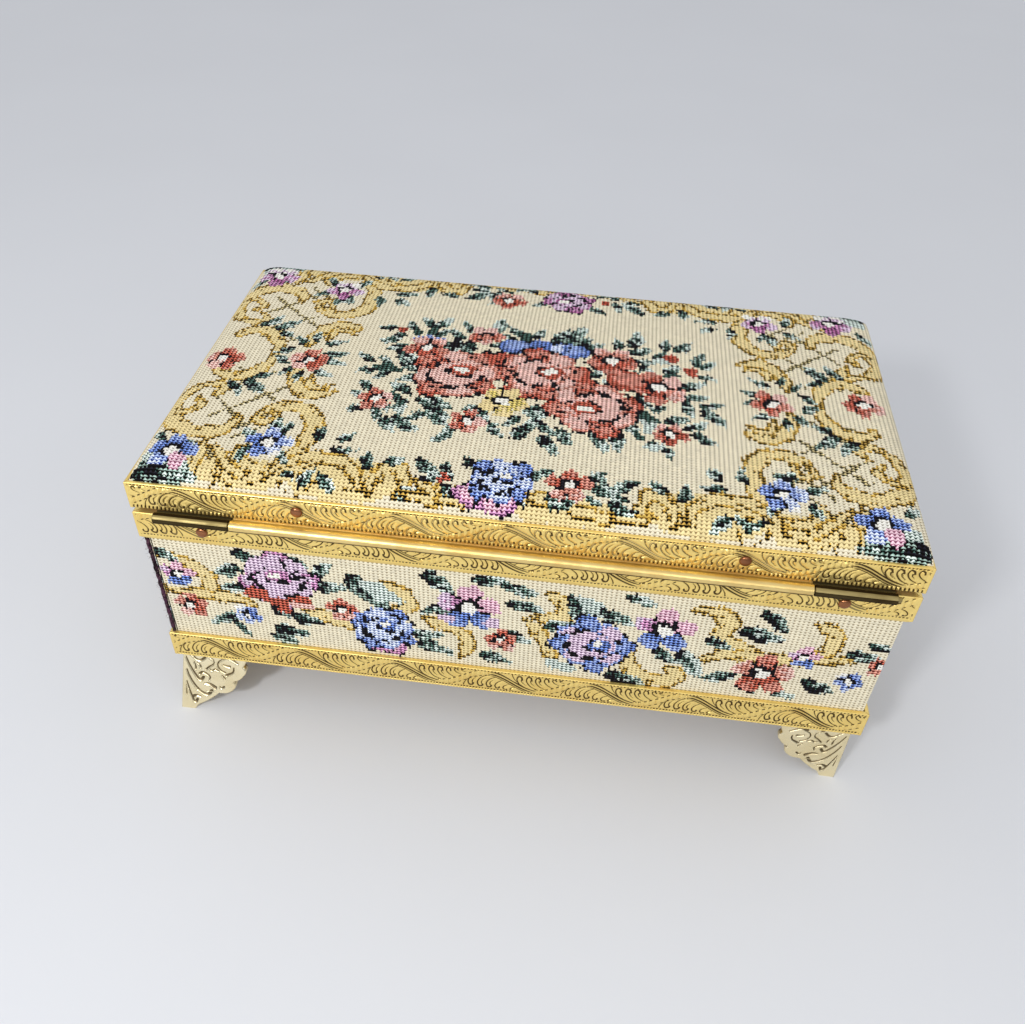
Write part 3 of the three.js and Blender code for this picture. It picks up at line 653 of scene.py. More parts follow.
BOUQUET_LEAVES = [
    (44, -26.5, 48.5, -33.5), (42.5, -26.5, 37, -34.5, "split"), (44, -20, 42.5, -27, "stem"),
    (41, -20.5, 36.5, -25.5, "split"), (30.5, -20, 36.5, -25), (50, -23, 52, -29.5),
    (48, -20, 50, -25, "stem"), (56.5, -23.2, 63, -24, "kcalb"), (52.5, -19, 59, -16),
    (55, -15.5, 60.5, -13.8), (51, -12, 57.5, -8), (52.5, -9, 45, 1.5, "split"),
    (61, 0, 66.5, -5.5, "split"), (53.5, 1.5, 58.5, -3.5), (27.5, -25, 32.5, -32),
    (20.5, -24, 18, -36.5, "split"), (9, -24.5, 15, -31), (6, -24.5, 1.5, -31),
    (8, -21, 8.5, -28, "stem"), (11.5, -22, 16.5, -25), (19.5, -16, 14, -20),
    (33.5, -19, 33, -7, "split"), (28, -19, 28.5, -6), (21, -13, 22, -7), (37, -17, 38, -7),
    (-2.5, -21, -7, -33.5, "tilps"), (-6.5, -21, -13, -35.5), (-12, -22, -15, -28.5),
    (-14, -19, -20.5, -25.5), (-26.5, -22.5, -24.5, -30.5, "tilps"),
    (-31, -24.5, -33.5, -36.5, "tilps"), (-30, -20, -38, -24.5), (-28.5, -19, -30, -23, "stem"),
    (-43, -25, -43.5, -32.5, "split"), (-46, -25, -53, -31.5), (-39.5, -18.5, -43.5, -24.5),
    (-53.5, -16, -56.5, -24.5), (-55, -15.5, -62, -19.5, "tilps"), (-55, -10, -61.5, -8.5),
    (-43, -8.5, -48.5, -16, "split"), (-42, -8, -48, -8.8, "stem"), (-32.5, -14.5, -39, -17),
    (-33.5, -12.5, -39, -9.5), (-39, -16, -46, -18, "mint"), (-48, -0.5, -57, -5.5),
    (-28, -5.5, -34.5, -8.5), (-23.5, 3, -34, -5.5, "kcalb"), (-21, 0, -30, -4.5, "mint"),
    (-15.5, -1.5, -21.5, -6.5, "black"), (50, 4.5, 59.5, 2.5, "stem"), (58, 5, 64.5, 7),
    (52.5, 5.5, 58.5, 10.5), (50, 0, 42, 3.5, "split"), (41, 5.5, 49.5, 10.5, "split"),
    (43, 17.5, 51.5, 12.5), (57, 18, 61.5, 11.5), (58.5, 21.5, 64.5, 18, "split"),
    (57, 26.5, 62.5, 29.5, "split"), (53.5, 26.5, 52, 33.5), (50, 24.5, 49.5, 28.5),
    (46.5, 20, 44.5, 29.5), (50, 18, 46, 21, "stem"), (50, 31, 45.5, 39, "split"),
    (46.5, 31.5, 38, 37.5), (38, 20, 27.5, 24), (41, 20, 35, 22, "split"), (36, 27, 42.5, 32, "split"),
    (37, 24, 28.5, 29), (34.5, 29, 27.5, 32.5, "split"), (25.5, 34.5, 31, 41.5), (17.5, 22, 24.5, 23.5),
    (18, 22, 16, 29.5), (15.5, 29.5, 10, 36), (5, 25, 9.5, 30), (6.5, 36.5, -0.5, 26, "split"),
    (3.5, 18, 0, 25), (1.5, 7.5, -2.5, 14.5), (0.5, 17, -2, 25.5), (-1, 26, -6.5, 33),
    (-7.5, 29.5, -13.5, 36.5), (-3, 33.5, -8.5, 42.5), (-20, 29.5, -24.5, 38.5),
    (-27.5, 28, -28, 38.5, "tilps"), (-30.5, 21.5, -34.5, 29), (-33.5, 27, -36.5, 30.5, "stem"),
    (-36.5, 15.5, -38.5, 26.5, "tilps"), (-43, 19.5, -51.5, 16.5), (-40, 31, -36, 34.5),
    (-43, 32.5, -45.5, 38.5), (-43, 32, -37, 34.5, "mint"), (-50, 22.5, -57.5, 18, "split"),
    (-52, 25, -60.5, 28.5), (-49, 7, -53, 14.5), (-50, 5.5, -58, 2), (-55, 9, -63, 7),
    (-55, 11, -63.5, 17.5), (-33.5, 5.5, -38.5, 13.5, "split"), (-43, 11, -38, 14.5, "black"),
    (-34, 15.5, -41, 20, "stem"),
]
REDS = ["red", "red", "salmon", "salmon", "red"]
PINKS = ["red", "salmon", "pink", "red", "red"]
BLUES = ["sky", "blue", "blue", "ice", "sky"]
BLUE_ROSY = ["blue", "blue", "sky", "rosy", "blue"]
ORCHIDS = ["plum", "orchid", "lilac", "lilac", "orchid"]
BORDER_FLOWERS = [
    (83, 50, 7.8, BLUES, 270), (-80, 50, 7.8, BLUES, 270), (112, 58, 8.4, BLUE_ROSY, 270),
    (-109, 58.5, 8.4, BLUE_ROSY, 270), (83, -50, 7.4, ORCHIDS, 90), (112, -57, 8.4, ORCHIDS, 90),
    (-79, -53, 7.4, ORCHIDS, 90), (-107, -58, 8.4, ORCHIDS, 90), (83, 2.5, 7.4, PINKS, 270),
    (113.5, 5, 7.6, PINKS, 270), (-80, 2, 7.6, PINKS, 90), (-112, -4, 7.6, PINKS, 90),
    (-14, 56, 7.6, REDS, 270), (18, -52.5, 7.2, REDS, 90),
]
BOUQUET_FLOWERS = [
    (43, -11.5, 8.5, REDS, 90), (-24, -14, 9.0, REDS, 90), (-41, 0.5, 10.0, PINKS, 80),
    (11.5, 17.5, 8.6, ["yellow", "yellow", "straw", "yellow", "straw"], 100),
    (54.5, 22, 6.4, PINKS, 60), (-45, 26, 6.2, REDS, 100), (22, 30, 6.4, PINKS, 40),
]
BOUQUET_PETALS = [
    (11, -17.5, 6.5, 5, "blue", "sky"), (2, -19, 5, 5, "blue", "blue"),
    (-9.5, -18, 6.5, 5.4, "blue", "sky"), (-4, -18, 4, 4.4, "blue", "ice"),
    (-24, -13, 9, 7.5, "red", "red"), (-30, -2, 8, 6.5, "red", "salmon"),
    (15, -6, 6, 7, "red", "red"), (6, 10, 7, 5, "red", "salmon"),
]
BUDS = [(54.5, -23, 2.1), (-45, -20, 2.6), (-52.3, -12, 2.6), (25, 58.5, 1.8), (-20, -57.5, 1.8)]
ROSE_SEPALS = [(15, 63.5, 6.5, 4.5), (7, 66, 7, 3.6)]
BLUE_ROSE = ("blue", "sky", "ice")
PLUM_ROSE = ("plum", "orchid", "lilac")
RED_ROSE = ("red", "salmon", "pink")
BORDER_ROSES = [(7, 56.5, 9.4, BLUE_ROSE, 0), (-5, -56.5, 9.0, PLUM_ROSE, 150)]
BOUQUET_ROSES = [(0, -2, 14.5, RED_ROSE, -35), (30, 3, 14.5, RED_ROSE, 10), (-19, 16, 14.5, RED_ROSE, 150)]


def mirrored(numbers, across, down):
    """Places, x and y in turn, each turned over to another quarter."""
    return [value * (across, down)[k % 2] for k, value in enumerate(numbers)]


def draw_lid(chart):
    """The whole lid, from the ground up: lattice, scrolls, leaves, then the flowers over them."""
    for down in (1, -1):
        for across in (1, -1):
            for x, y, rx, ry in FRAME_GROUND:
                disc(chart, x * across, y * down, rx, ry, "straw")
            for x, y, rx, ry in FRAME_DASHES:
                arc(chart, x * across, y * down, rx, ry, 0, 360, 1.0, "outline", dash=16)
            for line in FRAME_LATTICE:
                lattice(chart, *mirrored(line, across, down))
            for width, points in FRAME_SCROLLS:
                scroll(chart, [mirrored(point, across, down) for point in points], width)
            for ends in FRAME_LEAVES:
                leaf(chart, *mirrored(ends[:4], across, down), *ends[4:])
    for half_turn in (1, -1):
        disc(chart, -14 * half_turn, 66 * half_turn, 20, 5, "straw")
        for width, points in EDGE_SCROLLS:
            scroll(chart, [mirrored(point, half_turn, half_turn) for point in points], width)
        for ends in EDGE_LEAVES:
            leaf(chart, *mirrored(ends[:4], half_turn, half_turn), *ends[4:])
    for x, y, r, petals, turn in BORDER_FLOWERS:
        flower(chart, x, y, r, petals, turn=turn)
    for x, y, rx, ry in ROSE_SEPALS:
        petal(chart, x, y, rx, ry, 0, "orchid", "rosy")
    for border_rose in BORDER_ROSES:
        rose(chart, *border_rose)
    for ends in BOUQUET_LEAVES:
        leaf(chart, *ends)
    disc(chart, 43, -17.5, 6.5, 2.6, "sky")
    flower(chart, 23, -23.5, 6.8, ["salmon", "red", "pink", "pink", "red"], eye="salmon", turn=100)
    for x, y, rx, ry, yarn, paler in BOUQUET_PETALS:
        petal(chart, x, y, rx, ry, 0, yarn, paler)
    for bouquet_rose in BOUQUET_ROSES:
        rose(chart, *bouquet_rose)
    for x, y, r, petals, turn in BOUQUET_FLOWERS:
        flower(chart, x, y, r, petals, turn=turn)
    for x, y, r in BUDS:
        bud(chart, x, y, r)


print("lid motifs:", len(BOUQUET_LEAVES) + 4 * len(FRAME_LEAVES) + len(BORDER_FLOWERS))

# %% [markdown]
# ### The wall cloth's design
#
# The strip round the walls is cut from a flower border that repeats every 246 mm. Its places are
# millimetres along the back wall and up from the floor. The other walls take what follows in the
# repeat, as a real strip would.

# %% Draw the wall cloth's chart
WALL_REPEAT = 246
WALL_SCROLLS = [
    (5.5, [(121, 75), (113, 73), (107, 69), (104, 64), (106, 59), (112, 57)]),
    (5.0, [(121, 57.5), (108, 57), (98, 57), (90, 55)]),
    (5.5, [(72, 55), (66, 53), (60, 51), (55, 48)]),
    (6.5, [(44, 72), (40, 70), (36, 66), (37, 61), (41, 60)]),
    (5.5, [(30, 58), (27, 56), (20, 54), (16, 50), (16, 44), (18, 40)]),
    (5.5, [(-10, 76), (-14, 75), (-17, 72), (-17, 67), (-12, 65), (-7, 65)]),
    (5.0, [(-4, 63), (-8, 58), (-12, 50), (-14, 44)]),
    (6.5, [(-41, 53), (-40, 46), (-45, 40.5), (-54, 40), (-57, 44), (-53, 46.5)]),
    (6.0, [(-58, 76.5), (-66, 76.5), (-70, 72), (-68, 66), (-75, 61), (-82, 60)]),
    (5.5, [(-64, 53), (-72, 57), (-88, 57), (-100, 59), (-112, 60)]),
    (5.5, [(-97, 76), (-103, 73), (-104, 66), (-98, 60)]),
]
WALL_LEAVES = [
    (121, 77, 114, 71), (94, 80, 86, 76), (93, 72, 103, 68, "tilps"), (91, 64, 101, 61, "split"),
    (76, 80, 69, 76), (69, 71, 61, 79, "split"), (68, 67, 56, 68), (97, 48, 107, 43), (98, 45, 94, 38),
    (84, 55, 75, 50), (77, 51, 66, 49, "black"), (84, 44, 72, 42, "black"), (86, 40, 76, 37),
    (56, 74, 42, 60), (51, 72, 38, 64, "mint"), (35, 49, 24, 50, "split"), (33, 45, 21, 41),
    (30, 80, 20, 71, "black"), (21, 65, 31, 61, "black"), (14, 79, 3, 80, "split"), (4, 78, -7, 75),
    (11, 43, 0, 40), (2, 70, -9, 68), (2, 56, -6, 51, "split"), (-18, 76, -27, 62),
    (-21, 76, -32, 68, "mint"), (-11, 60, -19, 64, "split"), (-36, 79, -46, 77, "split"),
    (-29, 71, -39, 66), (-56, 56, -65, 44, "split"), (-47, 55, -56, 50), (-64, 63, -73, 60),
    (-74, 70, -88, 66, "black"), (-80, 79, -89, 71, "black"), (-76, 47, -66, 43, "split"),
    (-98, 48, -110, 43, "black"), (-104, 47, -109, 43, "black"), (-109, 64, -120, 63),
    (-115, 70, -123, 67, "black"), (-78, 42, -84, 39, "black"), (-89, 41, -97, 39, "split"),
    (-12, 42, -23, 40, "mint"), (-33, 40, -46, 37, "black"),
]
ROSY_BLUE = ["rosy", "orchid", "blue", "blue", "rosy"]
WALL_FLOWERS = [
    (115, 66, 6.0, ROSY_BLUE, 270), (113, 51, 6.6, PINKS, 270), (59, 57, 5.8, REDS, 270),
    (93, 49, 5.2, BLUES, 90),
    (15, 65, 11.0, ROSY_BLUE, 270), (4, 51, 6.0, REDS, 270), (-50, 65, 10.5, ROSY_BLUE, 270),
    (-85, 49, 10.5, ["red", "salmon", "red", "red", "salmon"], 270), (-96.5, 59.5, 5.4, ROSY_BLUE, 270),
    (-113, 50, 5.0, BLUES, 90), (-121, 59, 4.5, REDS, 270),
]
RED_SEPALS = [(88, 60.5, 4.6, 3.0), (82, 57.5, 4.2, 2.2), (73.5, 59.5, 4.6, 2.0), (79, 54.5, 2.4, 2.2)]


def draw_wall(chart, shift, level):
    """One repeat of the border, moved along the strip; heights turn into distances down from level."""
    for width, points in WALL_SCROLLS:
        scroll(chart, [(x + shift, level - z) for x, z in points], width)
    for x0, z0, x1, z1, *shade in WALL_LEAVES:
        leaf(chart, x0 + shift, level - z0, x1 + shift, level - z1, *shade)
    rose(chart, 80 + shift, level - 68, 12.5, ("orchid", "lilac", "lilac"), turn=50)
    for x, z, rx, ry in RED_SEPALS:
        disc(chart, x + shift, level - z, rx, ry, "red")
    disc(chart, 73 + shift, level - 57, 4.2, 1.6, "pink")
    petal(chart, 44 + shift, level - 41, 8, 4, 0, "orchid", "rosy")
    rose(chart, 45 + shift, level - 50, 10.5, BLUE_ROSE, turn=15)
    rose(chart, -27 + shift, level - 54, 12.5, ("blue", "sky", "lilac"), turn=-40)
    for x, z, r, petals, turn in WALL_FLOWERS:
        flower(chart, x + shift, level - z, r, petals, turn=turn)
    for side in (-1, 1):
        disc(chart, 15 + 8 * side + shift, level - 59, 3.2, 2.2, "lilac")


print("wall motifs in a repeat:", len(WALL_LEAVES) + len(WALL_SCROLLS) + len(WALL_FLOWERS) + 3)

# %% [markdown]
# ## The tapestry as cloth
#
# The lid's cloth is stretched over wadding, so it rises steeply inside the gilt edge and then swells
# gently to the middle. Its grid follows the length of the cloth, as stitches do, and not the plan.
# The ribs are real relief: four faces across each rib, lowered between the ribs.

# %% The tapestry's finish
UNEVEN_TONE = 0.75


def weave_material(name, ribs, stitches):
    """Two-tone stitches from a chart, u counted in ribs and v in stitches. The dark thread shows where
    fract(v + 0.2 cos(2 pi u)) is nearer to 0.75 than about half the yarn's share, more between the ribs
    than on them, so that each light stitch is a lens. The gaps between the ribs are darkened, most of
    all where two stitches meet: partly the dark warp that shows there, partly painted shade in the valleys."""
    shader = Shader(name)
    uv = shader.node("ShaderNodeUVMap", output="UV", uv_map="cloth")
    u = shader.node("ShaderNodeSeparateXYZ", {0: uv}, output="X")
    v = shader.node("ShaderNodeSeparateXYZ", {0: uv}, output="Y")
    wander = shader.noise(900.0) - 0.5
    fibre = shader.noise(5200.0, 3.0)
    across = (u * ribs * (2 * np.pi)).cos()
    row = (v * stitches + across * 0.2 + wander * 0.3).fract()
    light = shader.attribute("light", "Color")
    dark = shader.attribute("dark", "Color")
    share = shader.attribute("dark", "Alpha")
    thick = share * (0.66 - across * 0.3)
    under = (thick - (row - 0.75).abs() + (fibre - 0.5) * 0.14 - 0.08 * share).above(-0.06, 0.06)
    yarn = shader.mix(under, light, dark)
    # Painted shade: the valleys between the ribs, most where stitches meet, are mixed towards dark brown,
    # partly for the warp that shows there.
    valley = (0.5 - across * 0.5) ** 3.0
    meet = ((v * stitches * (2 * np.pi)).cos() * 0.5 + 0.5) ** 2.0
    gap = valley * (meet * 0.8 + share * 0.8 - 0.02)
    deep = shader.mix(gap, yarn, shader.mix(0.5, dark, tint("1e150a")))
    thread = shader.mix((fibre - 0.5) * 0.6 + 0.15, deep, tint("6f6350"), blend="SOFT_LIGHT")
    height = (1 - valley) * 0.5 + (1 - under) * 0.35 + fibre * 0.3
    return shader.finish(Base_Color=thread, Roughness=0.9, Specular_IOR_Level=0.1,
                         Normal=shader.bump(height, 0.00022, 0.8))


def weave(obj, chart):
    """Give each face of a cloth grid its stitch's two colours, two faces to a stitch. The dark
    colour's alpha holds the dark thread's share of the stitch. Single stitches are lighter or
    darker by up to 0.75 times that share, as hand-laid yarns are."""
    tones = np.array([[tint(light), tint(dark, share)] for light, dark, share in YARNS.values()])
    stitch = np.repeat(chart.yarn, 2, axis=1).ravel()
    uneven = np.random.default_rng(12).uniform(-1, 1, chart.shape)
    uneven = np.repeat((uneven + np.roll(uneven, 1, 1)) * 0.5, 2, axis=1).ravel()
    for k, name in enumerate(("light", "dark")):
        shade = tones[stitch, k]
        shade[:, :3] *= (1 + UNEVEN_TONE * uneven * tones[stitch, 1, 3])[:, None]
        layer = obj.data.color_attributes.new(name=name, type="FLOAT_COLOR", domain="CORNER")
        layer.data.foreach_set("color", np.repeat(shade, 4, axis=0).astype(np.float32).ravel())


def cloth(name, chart, points, relief):
    """A cloth from a grid of points on its crest level: each point sinks along the grid's normal by
    relief (0.5 - 0.5 cos(pi / 2 column)), which is deepest half way between the ribs."""
    rows, columns = points.shape[:2]
    normal = np.cross(np.gradient(points, axis=1), np.gradient(points, axis=0))
    normal /= np.linalg.norm(normal, axis=-1, keepdims=True)
    sink = relief * (0.5 - 0.5 * np.cos(np.pi / 2 * np.arange(columns)))
    obj = build(name, points - normal * sink[None, :, None], grid_faces(rows, columns), crease=80)
    u, v = np.meshgrid(np.linspace(0, 1, columns), np.linspace(0, 1, rows))
    corner = np.zeros(len(obj.data.loops), np.int32)
    obj.data.loops.foreach_get("vertex_index", corner)
    layer = obj.data.uv_layers.new(name="cloth")
    layer.data.foreach_set("uv", np.stack([u.ravel(), v.ravel()], -1)[corner].astype(np.float32).ravel())
    weave(obj, chart)
    return obj


print("tones of yarn:", 2 * len(YARNS))

# %% The lid's cloth
CLOTH_THICK = 1.0
CLOTH_EDGE = 1.2
CLOTH_HEM = 0.6
SHOULDER_RUN = 9.0
SHOULDER_RISE = 5.4
SHOULDER_POWER = 2.2
CENTRE_RISE = 2.6
FULL_SHOULDER = {-1: 1.1, 1: 0.2}
RIB_RELIEF = 0.12

hem_top = span("tapestry_top")[0][2] + CLOTH_THICK
crown_x, crown_y = HALF_X - CLOTH_EDGE, HALF_Y - CLOTH_EDGE


def shoulder(distance):
    """From 0 at the edge to 1: (1 - (1 - d / 9)^2.2)^(1 / 2.2), the CAD solid's own rise."""
    left = 1 - np.clip(distance / SHOULDER_RUN, 0, 1)
    return (1 - left ** SHOULDER_POWER) ** (1 / SHOULDER_POWER)


def crown(x, y, rise, inset=0.0):
    """The padded top's height over its edge: rise sh(x) sh(y) plus a low bulge in the middle."""
    a, b = crown_x - inset, crown_y - inset
    bulge = np.clip((1 - (x / a) ** 2) * (1 - (y / b) ** 2), 0, None)
    return rise * shoulder(a - np.abs(x)) * shoulder(b - np.abs(y)) + CENTRE_RISE * bulge


def fuller(place, half):
    """Places moved outwards by f sin(pi sh), so that the padded shoulder stands over the gilt edge:
    f is 1.1 on the left and in front, and 0.2 where the cloth was drawn tighter."""
    full = np.where(place < 0, FULL_SHOULDER[-1], FULL_SHOULDER[1])
    return place + np.sign(place) * full * np.sin(np.pi * shoulder(half - np.abs(place)))


def cloth_lines(half):
    """The cloth's length from the middle to its hem's edge, and places for lengths along it."""
    place = np.linspace(0, half + CLOTH_HEM, 4001)
    rise = SHOULDER_RISE * shoulder(half - place)
    length = np.concatenate([[0], np.cumsum(np.hypot(np.diff(place), np.diff(rise)))])
    return length[-1], lambda s: np.sign(s) * np.interp(np.abs(s), length, place)


def lid_cloth():
    """The lid's cloth on a grid of its own length, half a stitch column and one stitch row a step."""
    long, x_at = cloth_lines(crown_x)
    short, y_at = cloth_lines(crown_y)
    chart = Chart(2 * long, 2 * short, seed=5)
    draw_lid(chart)
    rows, columns = chart.shape
    x = x_at(np.linspace(-long, long, 2 * columns + 1))[None, :]
    y = y_at(np.linspace(-short, short, rows + 1))[:, None]
    z = hem_top + crown(x, y, SHOULDER_RISE)
    x, y = fuller(x, crown_x), fuller(y, crown_y)
    points = surface(x + hinge_x, y + MIDDLE_Y, z)
    obj = cloth("lid_tapestry", chart, points, RIB_RELIEF)
    material = weave_material("tapestry_on_lid", columns / 2, rows)
    settle(obj, "lid", "tapestry", material, "tapestry_top")
    return obj, (2 * long * MM, 2 * short * MM)


top_cloth, top_flat = lid_cloth()
print("lid cloth", [round(v, 4) for v in top_flat], "faces", len(top_cloth.data.polygons))

# %% [markdown]
# ## The wall cloth
#
# One strip goes round the four walls and meets itself at the back right corner. Its path is a rounded
# rectangle, measured by length, and its chart is wrapped along that path. Its upper and lower edges
# lie behind the gilt bands.

# %% The strip round the walls
CLOTH_CORNER = 1.1
SEAM_WIDTH = 0.4
CORNER_STEPS = 12

wrap_low, wrap_high = span("tapestry_wrap")
wrap_x = (wrap_high[0] - wrap_low[0]) / 2
wrap_y = (wrap_high[1] - wrap_low[1]) / 2
wrap_tall = wrap_high[2] - wrap_low[2]
wrap_level = (wrap_high[2] + wrap_low[2]) / 2


def wrap_path():
    """The strip's path seen from above, from the seam down the right wall and round to the back:
    quarter circles of the corner radius about four centres, joined by the straight walls."""
    a, b = wrap_x - CLOTH_CORNER, wrap_y - CLOTH_CORNER
    centres = [(a, b, 90), (a, -b, 0), (-a, -b, -90), (-a, b, -180)]
    turns = np.radians(np.linspace(0, -90, CORNER_STEPS + 1))
    arcs = []
    for x, y, start in centres:
        turn = np.radians(start) + turns
        arcs.append(np.stack([x + CLOTH_CORNER * np.cos(turn), y + CLOTH_CORNER * np.sin(turn)], -1))
    path = np.vstack([*arcs, [[a - SEAM_WIDTH, wrap_y]]])
    return path + [hinge_x, MIDDLE_Y]


def wall_cloth():
    """The wall strip: a grid along the path and down the wall, half a column and one stitch a step."""
    path = wrap_path()
    length = np.concatenate([[0], np.cumsum(np.hypot(*np.diff(path, axis=0).T))])
    chart = Chart(length[-1], wrap_tall, seed=8)
    shift = length[-1] / 2 - path[-1, 0]
    for repeat in range(int(length[-1] / WALL_REPEAT) + 1):
        draw_wall(chart, shift - repeat * WALL_REPEAT, wrap_level)
    rows, columns = chart.shape
    along = np.linspace(0, length[-1], 2 * columns + 1)[None, :]
    z = np.linspace(wrap_high[2], wrap_low[2], rows + 1)[:, None]
    x, y = np.interp(along, length, path[:, 0]), np.interp(along, length, path[:, 1])
    obj = cloth("wall_tapestry", chart, surface(x, y, z), RIB_RELIEF)
    material = weave_material("tapestry_on_walls", columns / 2, rows)
    settle(obj, "box", "tapestry", material, "tapestry_wrap")
    return obj, (length[-1] * MM, wrap_tall * MM)


wall_strip, wall_flat = wall_cloth()
print("wall cloth", [round(v, 4) for v in wall_flat], "faces", len(wall_strip.data.polygons))

# %% [markdown]
# ### The cut edge at the seam
#
# Where the strip's ends meet, at the back right corner, the cloth's cut edge is folded over and shows
# as a dark, matted roll with loose ends of yarn. The roll is a tube with an uneven radius, and each
# loose end is a thin tapering tube bent by a parabola.

# %% The seam's roll and loose ends
SEAM_RADIUS = 0.75
SEAM_OUT = 0.25
SEAM_SHORT = 1.0
SEAM_GRID = (150, 14)
LOOSE_ENDS = 60
LOOSE_LONG = 1.3
LOOSE_THICK = 0.07
LOOSE_ROOT = 0.3
LOOSE_GRID = (6, 3)

seam_low, seam_high = wrap_low[2] + SEAM_SHORT, wrap_high[2] - SEAM_SHORT


def seam_material():
    shader = Shader("seam_edge")
    fibre = shader.noise(2600.0, 3.0)
    patch = shader.noise(420.0, 2.0)
    base = shader.mix(patch.above(0.4, 0.62), tint("1c1218"), tint("4c2c40"))
    base = shader.mix(fibre.above(0.56, 0.74) * 0.8, base, tint("a88c86"))
    return shader.finish(Base_Color=base, Roughness=0.95, Specular_IOR_Level=0.1,
                         Normal=shader.bump(fibre, 0.0002, 0.8))


def seam_corner():
    """The middle of the corner's curve, a little out from the cloth."""
    lean = np.sqrt(0.5)
    x = wrap_x - CLOTH_CORNER * (1 - lean) + SEAM_OUT * lean
    y = wrap_y - CLOTH_CORNER * (1 - lean) + SEAM_OUT * lean
    return x + hinge_x, y + MIDDLE_Y


def seam_roll():
    """A tube up the corner, closed at both ends: radius 0.75 times an uneven share of height and turn."""
    x, y = seam_corner()
    rows, columns = SEAM_GRID
    z = np.linspace(seam_low, seam_high, rows)[:, None]
    turn = circle(columns)[None, :]
    uneven = np.random.default_rng(3).uniform(-1, 1, SEAM_GRID)
    uneven = (uneven + np.roll(uneven, 1, 0) + np.roll(uneven, 1, 1)) / 3
    radius = SEAM_RADIUS * (1 + 0.12 * np.sin(1.3 * z + 2 * np.sin(0.4 * z)) + 0.3 * uneven)
    points = surface(x + radius * np.cos(turn), y + radius * np.sin(turn), z)
    faces = grid_faces(rows, columns, close_columns=True)
    return build("seam_roll", points, faces, row_caps(rows, columns), crease=80)


def loose_ends():
    """Thin yarns from the roll, each 0.5 to 1.1 times 1.3 mm long: at share t a yarn has gone out by
    that length times t, it has bent up or down and sideways by parabolas of t, and its three-sided
    section has shrunk, to a third at its tip."""
    x, y = seam_corner()
    draw = np.random.default_rng(7)
    t = np.linspace(0, 1, LOOSE_GRID[0])[None, :, None]
    z = draw.uniform(seam_low + SEAM_SHORT, seam_high - SEAM_SHORT, LOOSE_ENDS)[:, None, None]
    heading = np.radians(draw.normal(45, 55, LOOSE_ENDS))[:, None, None]
    long = LOOSE_LONG * draw.uniform(0.5, 1.1, LOOSE_ENDS)[:, None, None]
    bend, swing = draw.uniform(-1.6, 1.2, (2, LOOSE_ENDS))[:, :, None, None]
    radius = LOOSE_THICK * (1 - 0.66 * t)
    side = np.radians([90, 210, 330])[None, None, :]
    out = long * t + SEAM_RADIUS - LOOSE_ROOT
    across = swing * t ** 2 + radius * np.cos(side)
    points = np.stack([x + out * np.cos(heading) - across * np.sin(heading),
                       y + out * np.sin(heading) + across * np.cos(heading),
                       z + bend * t ** 2 + radius * np.sin(side)], axis=-1)
    tube = grid_faces(*LOOSE_GRID, close_columns=True)
    first = np.arange(LOOSE_ENDS) * np.prod(LOOSE_GRID)
    faces = (tube[None, :, :] + first[:, None, None]).reshape(-1, 4)
    caps = [cap + start for start in first for cap in row_caps(*LOOSE_GRID)]
    return build("seam_loose_ends", points, faces, caps, crease=80)


seam_edge = seam_material()
for piece in (seam_roll(), loose_ends()):
    settle(piece, "box", "tapestry", seam_edge)
print("seam from", round(seam_low, 1), "to", round(seam_high, 1))

# %% [markdown]
# ## Gilt finishes
#
# The bands are thin brass, rolled with a pattern and gilded to a rich yellow. The feet are castings
# with a paler, glossier gilding, and the hinge's end knuckles and the rivets were never gilded. What
# tells them apart is the metal's colour, its roughness, and the brown that stays in the cuts. The same
# brown is painted as shade along two band edges and on the hinge's barrels.

# %% Metal materials


def metal(name, bright, worn, rough, cut="3a2406", cut_share=0.95, streak=1.0, metallic=1.0):
    """A metal whose cuts and painted shade, marked from 0 to 1 on its points, are browned, over faint
    stains and marks.
    """
    shader = Shader(name)
    # The mark read here browns the cuts, and it also paints shade on two band edges and on the hinge's
    # barrels.
    cut_and_shade = shader.attribute("cut_and_shade").above(0.08, 0.55)
    stain = shader.noise(110.0, 4.0).above(0.42, 0.72)
    place = shader.node("ShaderNodeMapping", {"Vector": shader.place(), "Scale": (60.0, 900.0, 900.0)})
    rub = shader.noise(3.0, 3.0, place)
    base = shader.mix(stain * 0.4, tint(bright), tint(worn))
    base = shader.mix((rub - 0.35) * 0.35 * streak, base, tint(worn))
    base = shader.mix(cut_and_shade * cut_share, base, tint(cut))
    roughness = stain * 0.08 + rub * 0.12 * streak + cut_and_shade * 0.25 + rough
    grain = shader.noise(1800.0, 2.0)
    return shader.finish(Base_Color=base, Metallic=metallic, Roughness=roughness,
                         Normal=shader.bump(grain + rub * streak, 0.00004, 0.35))


gilt = metal("stamped_gilt", "f9dc86", "e6bf62", 0.24, metallic=0.72)
cast_gilt = metal("cast_gilt", "faecc4", "e6d29c", 0.13, cut="46300f", cut_share=0.85)
roll_gilt = metal("rolled_gilt", "f2d790", "c09448", 0.27, streak=1.6)
bronze = metal("hinge_bronze", "ab9a68", "66542e", 0.38, cut="2c1e0e", streak=2.0)
copper = metal("rivet_copper", "a06a48", "482a1c", 0.2, cut="2e140c")
print("metals:", [material.name for material in (gilt, cast_gilt, roll_gilt, bronze, copper)])

# %% [markdown]
# ## The rolled pattern
#
# The bands carry a running acanthus scroll, one of the oldest border patterns: a stem that waves from
# edge to edge, with a spray of curled leaf cuts under every crest. The trough's spray is the crest's
# one shifted by half a period and turned upside down. One period is worked out once, as a tile, and
# every band reads its cuts and heights from that tile.

